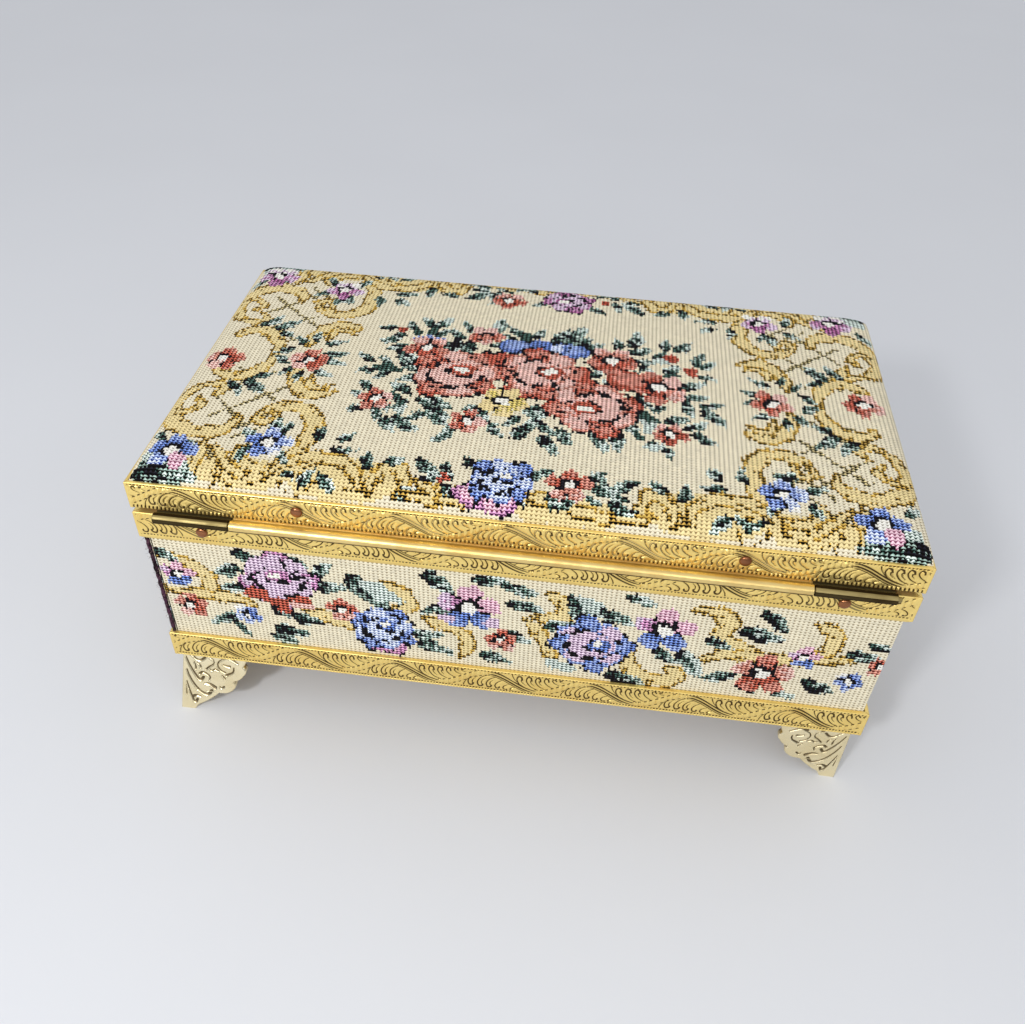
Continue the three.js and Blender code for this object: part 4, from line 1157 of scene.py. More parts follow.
# %% The scroll as a relief
PERIOD = 35.0
PATTERN_HALF = 3.2
STEM_SWING = 2.75
TILE_STEP = 0.1
CUT_DEPTH = 0.3
BULGE_RISE = 0.2
BULGE_REACH = 0.8
KNOB_RISE = 0.3
KNOB = 0.8
BROAD_CUT = 0.25
STEM_LINES = [(0.42, 0.28, 1.0), (-0.48, 0.28, 1.0), (-1.1, 0.2, 0.7)]
STEM_CLEAR = 0.6
RIDGE_HALF = 0.4
RIDGE_RISE = 0.1
LOBE_PITCH = 1.9
LOBE_HALF = 0.95
LOBE_RISE = 0.5
NOTCH_HALF = 0.2
NOTCH_SHARE = 0.7
LEAF_STROKES = [
    (0.21, [(-4.6, 1.3), (-7.2, -0.3), (-8.6, -1.9), (-9.0, -3.1)]),
    (0.4, [(-3.0, 2.1), (-5.9, 0.8), (-7.3, -1.1), (-6.9, -2.5), (-5.8, -2.5), (-5.4, -1.7)]),
    (0.21, [(-4.0, 0.7), (-5.5, -0.5), (-5.8, -1.5)]),
    (0.4, [(0.4, 2.0), (-2.4, 0.8), (-3.9, -1.1), (-3.5, -2.6), (-2.4, -2.6), (-2.0, -1.8)]),
    (0.21, [(-0.9, 0.6), (-2.2, -0.5), (-2.5, -1.6)]),
    (0.4, [(2.6, 1.3), (0.4, 0.2), (-0.7, -1.3), (-0.3, -2.7), (0.8, -2.6), (1.1, -1.9)]),
    (0.21, [(1.6, 0.0), (0.7, -0.9), (0.6, -1.7)]),
    (0.36, [(5.2, 0.5), (3.2, -0.7), (2.4, -1.9), (2.9, -2.9), (3.8, -2.7), (4.0, -2.1)]),
    (0.32, [(7.6, -0.9), (5.9, -1.6), (5.3, -2.5), (6.0, -3.0), (6.7, -2.7)]),
    (0.28, [(9.6, -1.9), (8.2, -2.3), (7.9, -2.9), (8.6, -3.0)]),
]


def cut(distance, width):
    """A round-bottomed cut: 1 - (d / w) squared, and nothing past its width."""
    return np.clip(1 - (distance / width) ** 2, 0, None)


def stroke_field(px, pz, strokes):
    """Cuts from 0 to 1 along smooth strokes, and the distance to the nearest one. A stroke swells
    from 0.35 of its half width at its start to the whole of it at its end."""
    cuts, least = np.zeros_like(px), np.full_like(px, np.inf)
    for width, points in strokes:
        path = smooth_path(points, 12)
        gap = np.hypot(px[..., None] - path[:, 0], pz[..., None] - path[:, 1])
        along, gap = gap.argmin(-1) / len(path), gap.min(-1)
        cuts = np.maximum(cuts, cut(gap, width * (0.35 + 0.65 * along)))
        least = np.minimum(least, gap)
    return cuts, least


def spray(dx, dz, room):
    """The cuts and the height under one crest, where there is room: beside a cut the leaf swells by
    x exp(1 - x), where x is the distance in units of 0.8 mm, and a knob stands in the curl at each
    broad cut's end."""
    cuts, least = stroke_field(dx, dz, LEAF_STROKES)
    bulge = least / BULGE_REACH * np.exp(1 - least / BULGE_REACH)
    ends = [points[-1] for width, points in LEAF_STROKES if width > BROAD_CUT]
    knobs = np.max([cut(np.hypot(dx - x, dz - z), KNOB) for x, z in ends], axis=0)
    return cuts * room, (BULGE_RISE * bulge + KNOB_RISE * knobs) * room


def scroll_tile():
    """One period at steps of 0.1 mm: cuts and heights. The stem is a cosine, with cut lines along it
    where it falls, and where it rises a chain of lobes |sin(pi s / 1.9)| with notches beside it."""
    s, z = np.meshgrid(np.arange(0, PERIOD, TILE_STEP),
                       np.arange(-PATTERN_HALF, PATTERN_HALF + TILE_STEP, TILE_STEP))
    dx = (s + PERIOD / 2) % PERIOD - PERIOD / 2
    turn = 2 * np.pi * dx / PERIOD
    slope = 2 * np.pi * STEM_SWING / PERIOD * np.sin(turn)
    off = (z - STEM_SWING * np.cos(turn)) / np.sqrt(1 + slope ** 2)
    under, under_rise = spray(dx, z, off < -STEM_CLEAR)
    over, over_rise = spray(s - PERIOD / 2, -z, off > STEM_CLEAR)
    falling = np.clip(np.sin(turn) * 2 + 0.2, 0, 1)
    lines = [depth * cut(off - place, width) for place, width, depth in STEM_LINES]
    stem = np.max(lines, axis=0) * falling
    lobe = np.abs(np.sin(np.pi * s / LOBE_PITCH))
    notch = (1 - falling) * cut(np.abs(off) - LOBE_HALF, NOTCH_HALF) * (lobe < NOTCH_SHARE)
    ridge_rise = RIDGE_RISE * falling * cut(off, RIDGE_HALF)
    lobe_rise = LOBE_RISE * (1 - falling) * cut(off, LOBE_HALF) * lobe
    stem_rise = ridge_rise + lobe_rise
    return np.max([under, over, stem, notch], axis=0), under_rise + over_rise + stem_rise


SCROLL_CUTS, SCROLL_RISE = scroll_tile()
TILE_FADE = 0.3
DASH_HALF = 0.32
BEAD_HALF = 0.6
BEAD_RISE = 0.4


def read_tile(tile, s, z):
    """The tile's value at places along and across, weighted from the four nearest cells. The tile
    repeats along the band and holds its edge's value across it."""
    rows, columns = tile.shape
    across = np.clip((z + PATTERN_HALF) / TILE_STEP, 0, rows - 1.001)
    along = s / TILE_STEP
    i, j = across.astype(int), np.floor(along).astype(int)
    down, right = across - i, along - j
    j, j_next = j % columns, (j + 1) % columns
    near = tile[i, j] * (1 - right) + tile[i, j_next] * right
    far = tile[i + 1, j] * (1 - right) + tile[i + 1, j_next] * right
    return near * (1 - down) + far * down


def scroll_relief(s, z, low, high, crest, turned=1):
    """Cuts and height of the scroll between two levels of a band, with a crest at a place along it;
    turned = -1 gives the strip the other way up."""
    level = turned * (z - (low + high) / 2) * 2 * PATTERN_HALF / (high - low)
    along, level = np.broadcast_arrays(turned * (crest - s), level)
    inside = np.clip((PATTERN_HALF + TILE_STEP - np.abs(level)) / TILE_FADE, 0, 1)
    return [read_tile(tile, along, level) * inside for tile in (SCROLL_CUTS, SCROLL_RISE)]


def dashes(s, z, level, pitch=1.1):
    """A row of short cuts along a level, each a little longer than the gap after it."""
    return cut(z - level, DASH_HALF) * (np.cos(2 * np.pi * s / pitch) > -0.1)


def beads(s, z, level, pitch=1.3):
    """A row of small beads: height 0.4 |cos| along and a parabola across, with cuts between them."""
    row = cut(z - level, BEAD_HALF)
    bead = np.abs(np.cos(np.pi * s / pitch))
    return row * (1 - bead) ** 2 * 1.8, BEAD_RISE * row * bead


print("scroll tile", SCROLL_CUTS.shape, "share cut", round(float((SCROLL_CUTS > 0.3).mean()), 3))

# %% [markdown]
# ### Bending the bands
#
# Each band strip is its section carried along a side of the box, with mitred ends. The section's face
# is sampled closely, so that the pattern is real relief in the mesh, and the hidden folds are not. The
# face is sunk inside a plain border, so that no leaf stands out past the strip's own outline. The base
# strip has dashes below its scroll and beads and a painted shadow line under the cloth, the rim strip
# has dashes over its plain chamfer, and the lid strip has a painted shadow line and beads below and
# dashes above.

# %% The band strips
BAND_SHEET = 0.5
BACK_INSET = 0.82
BORDER = 0.9
BAND_ROUND = 0.35
MITRE_GAP = 0.1
MITRE_PLAIN = 0.6
MITRE_FADE = 0.8
CLOTH_LIP = 1.4
RIM_CHAMFER = 1.2
LID_LIP = 1.4
LID_FLANGE = 1.1
FACE_SET = 0.46
LIP_CLEAR = 0.02
ROUND_TURNS = np.radians([22.5, 45, 67.5, 90])
STEP = 0.225

side_place = {
    "back": lambda s, inset: (s, HALF_Y - inset),
    "front": lambda s, inset: (-s, inset - HALF_Y),
    "right": lambda s, inset: (HALF_X - inset, -s),
    "left": lambda s, inset: (inset - HALF_X, s),
}
side_half = {"back": HALF_X, "front": HALF_X, "right": HALF_Y, "left": HALF_Y}


def face_profile(height, chamfer, before, after):
    """A closed section: hidden points before the face, the face in close steps, and points after.
    The face rises from an edge of that chamfer to the rounded upper edge."""
    z = np.linspace(max(chamfer, BAND_ROUND), height - BAND_ROUND, int(height / STEP))
    face = np.stack([np.zeros_like(z), z], -1)
    inset, drop = BAND_ROUND * (1 - np.cos(ROUND_TURNS)), BAND_ROUND * (1 - np.sin(ROUND_TURNS))
    rounded = np.stack([inset, height - drop], -1)
    profile = np.vstack([before, face, rounded, after])
    on_face = np.zeros(len(profile), bool)
    on_face[len(before) - 1:len(before) + len(face)] = True
    return profile, on_face


def band_strip(name, side, section, bottom, relief, body, *nodes, notch=0.0):
    """A strip along a side: every section point runs from mitre to mitre, and the face's points move
    in by the depth of the cuts and out by the height of the leaves, both in millimetres. Within
    notch of the middle the lower lip is tucked behind the face, to leave room for the hinge."""
    profile, on_face = section
    inset, height = profile[:, 0][:, None], profile[:, 1][:, None]
    half = side_half[side]
    columns = int(2 * half / STEP)
    s = np.linspace(-1, 1, columns)[None, :] * (half - MITRE_GAP - inset)
    cuts, rise = relief(s, height)
    fade = on_face[:, None] * np.clip((half - MITRE_PLAIN - np.abs(s)) / MITRE_FADE, 0, 1)
    hidden_lip = (np.abs(s) < notch) & (inset > BACK_INSET) & (height <= BAND_SHEET)
    border = np.clip(np.minimum(height, height.max() - height) / BORDER, 0, 1)
    relief_depth = FACE_SET * border + CUT_DEPTH * np.clip(cuts, 0, 1) - rise
    depth = np.where(hidden_lip, BACK_INSET + LIP_CLEAR, inset + fade * np.maximum(relief_depth, 0))
    x, y = side_place[side](s, depth)
    points = surface(x + hinge_x, y + MIDDLE_Y, height + bottom)
    rows = len(profile)
    faces = flip(grid_faces(rows, columns, close_rows=True))
    obj = build(name, points, faces, column_caps(rows, columns), crease=60)
    # The mark holds the cuts and, on the base and lid strips, a painted shadow line.
    mark(obj, "cut_and_shade", np.clip(cuts, 0, 1) * fade)
    return settle(obj, body, "gilt_band", gilt, *nodes)


base_tall, rim_tall, lid_tall = base_top - base_low, rim_top - rim_low, lid_top - lid_low
base_flange = span("base_band_back")[1][1] - span("base_band_back")[0][1]
rim_flange = span("rim_band_back")[1][1] - span("rim_band_back")[0][1]


def folded(flange, height, low):
    """The hidden points after a face: a flange at the top, and down the sheet's back to a level."""
    under = height - BAND_SHEET
    return [(flange, height), (flange, under), (BACK_INSET, under), (BACK_INSET, low)]


base_section = face_profile(base_tall, 0, [(base_flange, BAND_SHEET), (base_flange, 0), (BAND_ROUND, 0)],
                            folded(CLOTH_LIP, base_tall, BAND_SHEET))
rim_section = face_profile(rim_tall, RIM_CHAMFER,
                           [(CLOTH_LIP, BAND_SHEET), (CLOTH_LIP, 0), (CLOTH_LIP - BAND_SHEET, 0)],
                           folded(rim_flange, rim_tall, RIM_CHAMFER + BAND_SHEET / 2))
lid_section = face_profile(lid_tall, 0, [(LID_LIP, BAND_SHEET), (LID_LIP, 0), (BAND_ROUND, 0)],
                           folded(LID_FLANGE, lid_tall, BAND_SHEET))

# %% Lay the pattern on the bands
NOTCH_CLEAR = 0.3


def band_relief(low, high, crest, dash, turned=1, bead=None, dark=None):
    """The relief of a band: the scroll between two levels, with a crest at a place along it, a row
    of dashes (level, depth), and if asked a row of beads (level, pitch) and a painted shadow line
    between two levels, marked as a cut."""
    dash_level, dash_depth = dash

    def relief(s, z):
        cuts, rise = scroll_relief(s, z, low, high, crest, turned)
        layers = [cuts, dash_depth * dashes(s, z, dash_level)]
        if bead:
            bead_cuts, bead_rise = beads(s, z, *bead)
            layers.append(bead_cuts)
            rise = bead_rise + rise
        if dark:
            # Painted shadow: every point between the two levels is marked as a full cut, so it is browned.
            layers.append((z > dark[0]) * (z < dark[1]) * np.ones_like(s))
        return np.max(layers, axis=0), rise

    return relief


# The base's dark edge under the cloth and the lid's dark edge just above the hinge roll are painted
# shadows.
base_relief = band_relief(low=1.6, high=base_tall - 1.2, crest=7.8, dash=(1.0, 1.0),
                          bead=(base_tall - 0.8, 1.2), dark=(base_tall - 0.35, np.inf))
rim_relief = band_relief(low=2.7, high=rim_tall - 0.5, crest=30.5, dash=(2.1, 0.8), turned=-1)
lid_relief = band_relief(low=1.5, high=lid_tall - 1.4, crest=4.9, dash=(lid_tall - 1.1, 1.0),
                         bead=(0.95, 1.3), dark=(-np.inf, 0.4))

strip_low, strip_high = span("hinge_strip")
for side in SIDES:
    notch = strip_high[0] + NOTCH_CLEAR if side == "back" else 0.0
    band_strip(f"base_trim_{side}", side, base_section, base_low, base_relief, "box", f"base_band_{side}")
    band_strip(f"rim_trim_{side}", side, rim_section, rim_low, rim_relief, "box", f"rim_band_{side}")
    band_strip(f"lid_trim_{side}", side, lid_section, lid_low, lid_relief, "lid", f"lid_band_{side}",
               notch=notch)

# %% [markdown]
# ## The cast feet
#
# Each foot is a casting of two wings that meet in the corner, cut to a scalloped outline and engraved
# with flutes that fan from the top of the corner and end in curls, with a volute near the far edge. A
# level of the wing is a line from the corner to the outline, so the foot is a stack of closed loops: in
# along one wing, out round its edge, across both faces, and back. Such castings are bent a little, each
# in its own way, so each foot has its own set: which corner it stands in, how far its wings stand in
# from the box's sides, and how far they lean out at the floor, each along X and along Y. The outline
# and the strokes are in shares of the wing's width and height, down from the corner's top.

# %% The foot's relief
WING = 24.0
FOOT_SETS = {
    "back_right": (1, 1, 1.6, 2.3, 1.7, 8.2),
    "back_left": (-1, 1, 2.6, 1.4, -0.8, 3.0),
    "front_left": (-1, -1, 2.7, 2.7, 1.6, 2.4),
    "front_right": (1, -1, 2.7, 2.7, 1.6, 2.4),
}
FOOT_WALL = 2.4
TAB_THICK = 2.0
RELIEF_TALL = 0.75
BARE_LEVEL = 0.7
DIP = 0.35
DIP_REACH = 0.8
STROKE_DEPTH = 0.6
SCALLOPS = [
    (1.03, 0.1, 0.96, 0.2), (1.05, 0.28, 0.97, 0.36), (0.92, 0.45, 0.82, 0.46), (0.9, 0.55, 0.8, 0.63),
    (0.72, 0.7, 0.62, 0.665), (0.47, 0.82, 0.33, 0.89), (0.25, 0.93, 0.23, 1),
]
FOOT_STROKES = [
    (0.024, [(0.05, 0.03), (0.14, 0.09), (0.22, 0.155), (0.29, 0.16), (0.35, 0.11)]),
    (0.036, [(0.36, 0.02), (0.4, 0.07)]),
    (0.014, [(0.42, 0.1), (0.485, 0.145), (0.485, 0.21), (0.43, 0.25), (0.37, 0.31)]),
    (0.014, [(0.17, 0.19), (0.2, 0.25), (0.21, 0.32)]),
    (0.014, [(0.22, 0.21), (0.27, 0.24), (0.29, 0.285)]),
    (0.028, [(0.045, 0.13), (0.1, 0.245), (0.18, 0.375), (0.255, 0.47), (0.3, 0.49), (0.335, 0.445)]),
    (0.024, [(0.43, 0.485), (0.44, 0.43), (0.39, 0.385), (0.32, 0.36), (0.275, 0.39)]),
    (0.03, [(0.065, 0.34), (0.11, 0.45), (0.2, 0.59), (0.29, 0.68), (0.39, 0.73), (0.445, 0.71),
            (0.475, 0.66)]),
    (0.036, [(0.36, 0.55), (0.44, 0.55), (0.53, 0.6)]),
    (0.026, [(0.07, 0.545), (0.12, 0.69), (0.17, 0.81), (0.2, 0.865), (0.235, 0.875), (0.25, 0.835)]),
    (0.028, [(0.31, 0.785), (0.24, 0.765), (0.18, 0.79)]),
    (0.012, [(0.06, 0.6), (0.075, 0.76)]),
    (0.036, [(0.87, 0.155), (0.78, 0.1), (0.7, 0.065), (0.63, 0.09)]),
    (0.016, [(0.63, 0.11), (0.57, 0.155), (0.555, 0.22), (0.6, 0.29), (0.68, 0.33)]),
    (0.024, [(0.64, 0.2), (0.7, 0.215), (0.745, 0.22)]),
    (0.024, [(0.81, 0.235), (0.8, 0.31), (0.7, 0.37)]),
    (0.016, [(0.43, 0.29), (0.465, 0.32), (0.515, 0.29), (0.57, 0.31)]),
    (0.016, [(0.63, 0.38), (0.68, 0.43)]),
    (0.018, [(0.6, 0.57), (0.63, 0.6), (0.67, 0.57)]),
]


def foot_face(u, v):
    """Height shares and cuts of the wing's face: a flat plate at 1 that dips by 0.35 exp(-d / 0.8 mm)
    towards its tapering cuts, which are 0.6 deep."""
    cuts, least = stroke_field(u, v, FOOT_STROKES)
    return 1 - STROKE_DEPTH * cuts - DIP * np.exp(-least * WING / DIP_REACH), cuts


print("strokes on a foot:", len(FOOT_STROKES))

# %% Build the four feet
OUTER_ROUND = 0.9
CORNER_ROUND = 0.5
TIP_ROUND = 0.8
TOP_ROUND = 0.6
EDGE_DROP = 0.25
FACE_PROUD = 0.1
BACK_STEPS = 8
TAB_HALF = 4.3
TAB_SIDES = 48
HOLE_STEP = 0.9

foot_tall = span("foot_back_right")[1][2]
foot_rows, foot_columns = ((104, 92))


def outline_at(v):
    """How far the wing reaches at a level, from the scallops as quadratic curves."""
    start, points = np.array([1.0, 0.0]), []
    t = np.linspace(0, 1, 16)[:, None]
    for cu, cv, eu, ev in SCALLOPS:
        end = np.array([eu, ev])
        points.append((1 - t) ** 2 * start + 2 * t * (1 - t) * np.array([cu, cv]) + t ** 2 * end)
        start = end
    curve = np.vstack(points)
    return np.interp(v, np.maximum.accumulate(curve[:, 1]), curve[:, 0])


def wing_face(v, share):
    """Places along a level, in millimetres from the corner, the face's height and cuts there, and how
    far its edges are rounded off."""
    reach = outline_at(v)[:, None]
    u = share[None, :] * reach
    down = v[:, None]
    edge = np.clip(np.minimum(reach - u, 1.0) * WING / OUTER_ROUND, 0, 1)
    edge = edge * np.clip(u * WING / CORNER_ROUND, 0, 1)
    ends = np.clip((1 - down) * WING / TIP_ROUND, 0, 1) * np.clip(down * WING / TOP_ROUND, 0, 1)
    relief, cuts = foot_face(u, down + np.zeros_like(u))
    height = BARE_LEVEL + (relief - BARE_LEVEL) * edge * ends
    return u * WING, height, cuts * edge * ends, np.sqrt(1 - (1 - edge) ** 2)


def foot(name, corner_x, corner_y, inset_x, inset_y, lean_x, lean_y):
    """A foot in the corner (corner_x, corner_y): closed loops of both wings, stacked by level, and
    leaning outwards below its tab, each foot set a little in its own way."""
    v = np.linspace(0, 1, foot_rows)
    share = 1 - np.linspace(1, 0, foot_columns) ** 1.15
    along, relief, cuts, rounding = wing_face(v, share)
    drop = np.maximum(RELIEF_TALL * (1 - relief) + EDGE_DROP * (1 - rounding) - FACE_PROUD, 0)
    back_share = np.linspace(1, 0, BACK_STEPS)
    back = np.maximum(back_share[None, :] * outline_at(v)[:, None] * WING, FOOT_WALL)
    inner = np.full_like(back, FOOT_WALL)
    along_x = np.hstack([back[:, ::-1], along[:, ::-1], drop[:, 1:], inner[:, :-1]])
    along_y = np.hstack([inner[:, ::-1], drop[:, ::-1], along[:, 1:], back[:, :-1]])
    plain = np.zeros_like(back)
    marks = np.hstack([plain, cuts[:, ::-1], cuts[:, 1:], plain[:, :-1]])
    z = foot_tall * (1 - v)[:, None]
    lean = np.clip((foot_tall - z - TAB_THICK) / (foot_tall - TAB_THICK), 0, 1)
    x = corner_x * (HALF_X - inset_x - along_x + lean_x * lean) + hinge_x
    y = corner_y * (HALF_Y - inset_y - along_y + lean_y * lean) + MIDDLE_Y
    points = surface(x, y, z)
    rows, columns = points.shape[:2]
    faces, caps = grid_faces(rows, columns, close_columns=True), row_caps(rows, columns)
    if corner_x * corner_y < 0:
        faces, caps = flip(faces), [cap[::-1] for cap in caps]
    obj = build(name, points, faces, caps, crease=70)
    mark(obj, "cut_and_shade", marks)
    return obj


def tab_piece(name, screw):
    """The tab that the screw holds: a ring between the screw's hole, which is 0.9 mm narrower all
    round than its head, and a square plate's edge. A direction meets the square at half its side
    over the larger of |cos| and |sin|."""
    low, high = span(screw)
    middle = (low[:2] + high[:2]) / 2
    hole = (high[0] - low[0]) / 2 - HOLE_STEP
    turn = circle(TAB_SIDES)
    ring = np.stack([np.cos(turn), np.sin(turn)], -1)
    square = ring / np.max(np.abs(ring), axis=1, keepdims=True) * TAB_HALF
    top, bottom = foot_tall, foot_tall - TAB_THICK
    loops = [(ring * hole, top), (square, top), (square, bottom), (ring * hole, bottom)]
    points = np.stack([np.column_stack([loop + middle, np.full(TAB_SIDES, z)]) for loop, z in loops])
    faces = flip(grid_faces(len(loops), TAB_SIDES, close_rows=True, close_columns=True))
    return build(name, points, faces, crease=40)


for corner, foot_set in FOOT_SETS.items():
    casting = foot(f"cast_foot_{corner}", *foot_set)
    settle(casting, "box", "cast_gilt", cast_gilt, f"foot_{corner}")
    tab = tab_piece(f"foot_tab_{corner}", f"foot_screw_{corner}")
    settle(tab, "box", "cast_gilt", cast_gilt)
print("foot height", round(foot_tall, 2), "faces each", len(casting.data.polygons))

# %% [markdown]
# ## The hinge
#
# A long strip is riveted inside the lid's back band and rolled round the pin: it shows as the bright
# half-round bead along the gap. A short bronze knuckle at each end belongs to the box, its leaf riveted
# behind the rim band. A leaf is a section carried along the hinge line, and a barrel is a loop carried
# round it.

# %% The hinge's parts
PIN_RADIUS = 0.9
BARREL_RADIUS = 1.8
BARREL_BORE = 1.1
LEAF_SHEET = 0.7
BARREL_SIDES = 72
BARREL_EDGE = 0.18
BARREL_STEP = 0.8
UNEVEN = 0.025
WEB_BITE = 0.1
BEND_IN, BEND_OUT = 0.4, 1.6
UNDERSIDE, UNDER_FADE = -12, 6
SLOT_SIDE, SLOT_FADE = 72, 8
SEAM_SIDE, SEAM_HALF = 24, 5
SLOT_BROWN = 0.45


def along_hinge(name, section, start, end):
    """A closed section of (y, z) points about the hinge line, carried along X from start to end."""
    section = np.asarray(section, float)
    x = np.array([[start, end]])
    y = section[:, 0][:, None] + hinge_y
    z = section[:, 1][:, None] + hinge_z
    points = surface(x + hinge_x, y, z)
    rows, columns = points.shape[:2]
    faces = flip(grid_faces(rows, columns, close_rows=True))
    return build(name, points, faces, column_caps(rows, columns), crease=40)


def tube_points(outer, inner, start, end):
    """A tube along the hinge line, its four rims rounded off: a closed loop of (radius, x) carried
    round the line, with a faint unevenness in the rolled face."""
    edge, columns = BARREL_EDGE, int((end - start) / BARREL_STEP)
    x = np.linspace(start + edge, end - edge, columns)
    loop_x = np.concatenate([[start, start], x, [end, end], x[::-1]])
    loop_r = np.concatenate([[inner + edge / 2, outer - edge], np.full(columns, outer),
                             [outer - edge, inner + edge / 2], np.full(columns, inner)])
    turn = circle(BARREL_SIDES)[:, None]
    uneven = UNEVEN * np.sin(loop_x * 0.9 + 3 * np.sin(turn)) * (loop_r > (outer + inner) / 2)
    radius = np.minimum(loop_r[None, :] - np.abs(uneven), outer)
    y, z = radius * np.cos(turn) + hinge_y, radius * np.sin(turn) + hinge_z
    return surface(loop_x[None, :] + hinge_x, y, z)


def barrel_shade_and_seam(points, slot):
    """How brown a barrel is, in degrees round the line from straight outwards: painted shade below -12,
    and on a knuckle also painted shadow above 72, in the slot under the lid's band, half brown below 24,
    and dark in the sheet's seam there."""
    turn = np.degrees(np.arctan2(points[..., 2] - hinge_z, points[..., 1] - hinge_y))
    # Painted shade on the underside, and on a knuckle painted shadow from the slot above it.
    under = np.clip((UNDERSIDE - turn) / UNDER_FADE, 0, 1)
    if not slot:
        return under
    above = np.clip((turn - SLOT_SIDE) / SLOT_FADE, 0, 1)
    seam = cut(turn - SEAM_SIDE, SEAM_HALF)
    return np.max([under, above, seam, SLOT_BROWN * (turn < SEAM_SIDE)], axis=0)


def hinge_part(name, start, end, leaf_end, body, slot, material, node):
    """A barrel and its leaf: the sheet leaves the barrel through the gap and bends behind the band."""
    leaf_inner = span(node)[0][1] - hinge_y
    leaf_outer = leaf_inner + LEAF_SHEET
    up = np.sign(leaf_end)
    half = LEAF_SHEET / 2
    web_end = -BARREL_BORE - WEB_BITE
    section = [(web_end, -half * up), (leaf_inner + half, -half * up), (leaf_inner, half * BEND_IN * up),
               (leaf_inner, leaf_end), (leaf_outer, leaf_end), (leaf_outer, half * BEND_OUT * up),
               (leaf_outer + half * BEND_IN, half * up), (web_end, half * up)]
    section = section if up < 0 else section[::-1]
    leaf_piece = along_hinge(f"{name}_leaf", section, start, end)
    points = tube_points(BARREL_RADIUS, BARREL_BORE, start, end)
    rows, columns = points.shape[:2]
    roll = build(f"{name}_roll", points, flip(grid_faces(rows, columns, True, True)), crease=40)
    # Painted shade under each barrel, and on the knuckles painted shadow from the slot, their seam and a
    # browner lower half.
    mark(roll, "cut_and_shade", barrel_shade_and_seam(points, body == "box"))
    for piece in (roll, leaf_piece):
        settle(piece, body, slot, material, node)


strip_top = strip_high[2] - hinge_z
knuckle_low, knuckle_high = span("hinge_knuckle_right")
knuckle_drop = knuckle_low[2] - hinge_z
hinge_part("lid_hinge_strip", strip_low[0], strip_high[0], strip_top, "lid", "gilt_band", roll_gilt,
           "hinge_strip")
knuckle_ends = {"right": (knuckle_low[0], knuckle_high[0]), "left": (-knuckle_high[0], -knuckle_low[0])}
for side, ends in knuckle_ends.items():
    hinge_part(f"{side}_knuckle", *ends, knuckle_drop, "box", "hinge_bronze", bronze,
               f"hinge_knuckle_{side}")
print("hinge line", round(hinge_y, 2), round(hinge_z, 2), "strip", round(strip_high[0] - strip_low[0], 1))

# %% The pin and the rivets
PIN_DOME = 0.35
HEAD_OVER_SIZE = 1.2
HEAD_SET = 0.1
TAIL_RADIUS = 1.2
TAIL_THICK = 0.5
SHANK_RADIUS = 0.8


def lathe(name, profile, centre, axis, sides=32):
    """A profile of (radius, distance) turned about an axis through the centre; the ends lie on it."""
    profile = np.asarray(profile, float)
    turn = circle(sides)[None, :]
    radius, distance = profile[1:-1, 0][:, None], profile[1:-1, 1][:, None]
    across, over = radius * np.cos(turn), radius * np.sin(turn)
    distance = distance + np.zeros_like(across)
    order = {"x": (distance, across, over), "y": (over, distance, across)}[axis]
    rings = np.stack(order, axis=-1) + centre
    tips = np.zeros((2, 3))
    tips[:, "xyz".index(axis)] = profile[[0, -1], 1]
    points = np.vstack([rings.reshape(-1, 3), tips + centre])
    rows = len(profile) - 2
    faces = grid_faces(rows, sides, close_columns=True)
    loop, last = np.arange(sides), (rows - 1) * sides
    near, far = rows * sides, rows * sides + 1
    caps = [(near, k, (k + 1) % sides) for k in loop]
    caps += [(far, last + (k + 1) % sides, last + k) for k in loop]
    return build(name, points, faces, caps)


pin_low, pin_high = span("hinge_pin")
dome = np.linspace(0, np.pi / 2, 6)
near_end = np.column_stack([PIN_RADIUS * np.sin(dome), pin_low[0] + PIN_DOME * (1 - np.cos(dome))])
far_end = np.column_stack([PIN_RADIUS * np.cos(dome), pin_high[0] - PIN_DOME * (1 - np.sin(dome))])
pin = lathe("long_pin", np.vstack([near_end, far_end]), np.array([0, hinge_y, hinge_z]), "x")
settle(pin, "box", "steel", bronze, "hinge_pin")


def rivet(name, node, body):
    """A rivet along Y: a tail behind the leaf, the shank, and a domed head, a little over size."""
    low, high = span(node)
    centre = np.array([(low[0] + high[0]) / 2, HALF_Y + MIDDLE_Y, (low[2] + high[2]) / 2])
    head = HEAD_OVER_SIZE * (high[0] - low[0]) / 2
    rise, tail = high[1] - centre[1] - HEAD_SET, low[1] - centre[1]
    neck = tail + TAIL_THICK
    turn = np.linspace(np.pi / 2, 0, 9)
    cap = np.column_stack([head * np.sin(turn) ** 0.9, HEAD_SET + rise * np.cos(turn)])
    below = [(0, tail), (TAIL_RADIUS, tail), (TAIL_RADIUS, neck), (SHANK_RADIUS, neck),
             (SHANK_RADIUS, HEAD_SET)]
    settle(lathe(name, np.vstack([below, cap]), centre, "y"), body, "rivet_copper", copper, node)


for side in ("left", "right"):
    rivet(f"rim_rivet_head_{side}", f"rim_rivet_{side}", "box")
    rivet(f"lid_rivet_head_{side}", f"lid_rivet_{side}", "lid")
print("pin", round(pin_high[0] - pin_low[0], 1), "rivets 4")

# %% [markdown]
# ## Inside: velvet, wadding and board
#
# The linings are card covered with wine red velvet. Each is a thin block whose edges are rounded off in
# a quarter circle, as pile rounds them. The wadding under the lid's cloth follows the cloth's own crown.
# Both are two grids of points, one for each face, joined by a rim. The boards and the screws, which
# nothing covers from inside the walls, keep their own solids and only get a material.

# %% Soft panels and boards


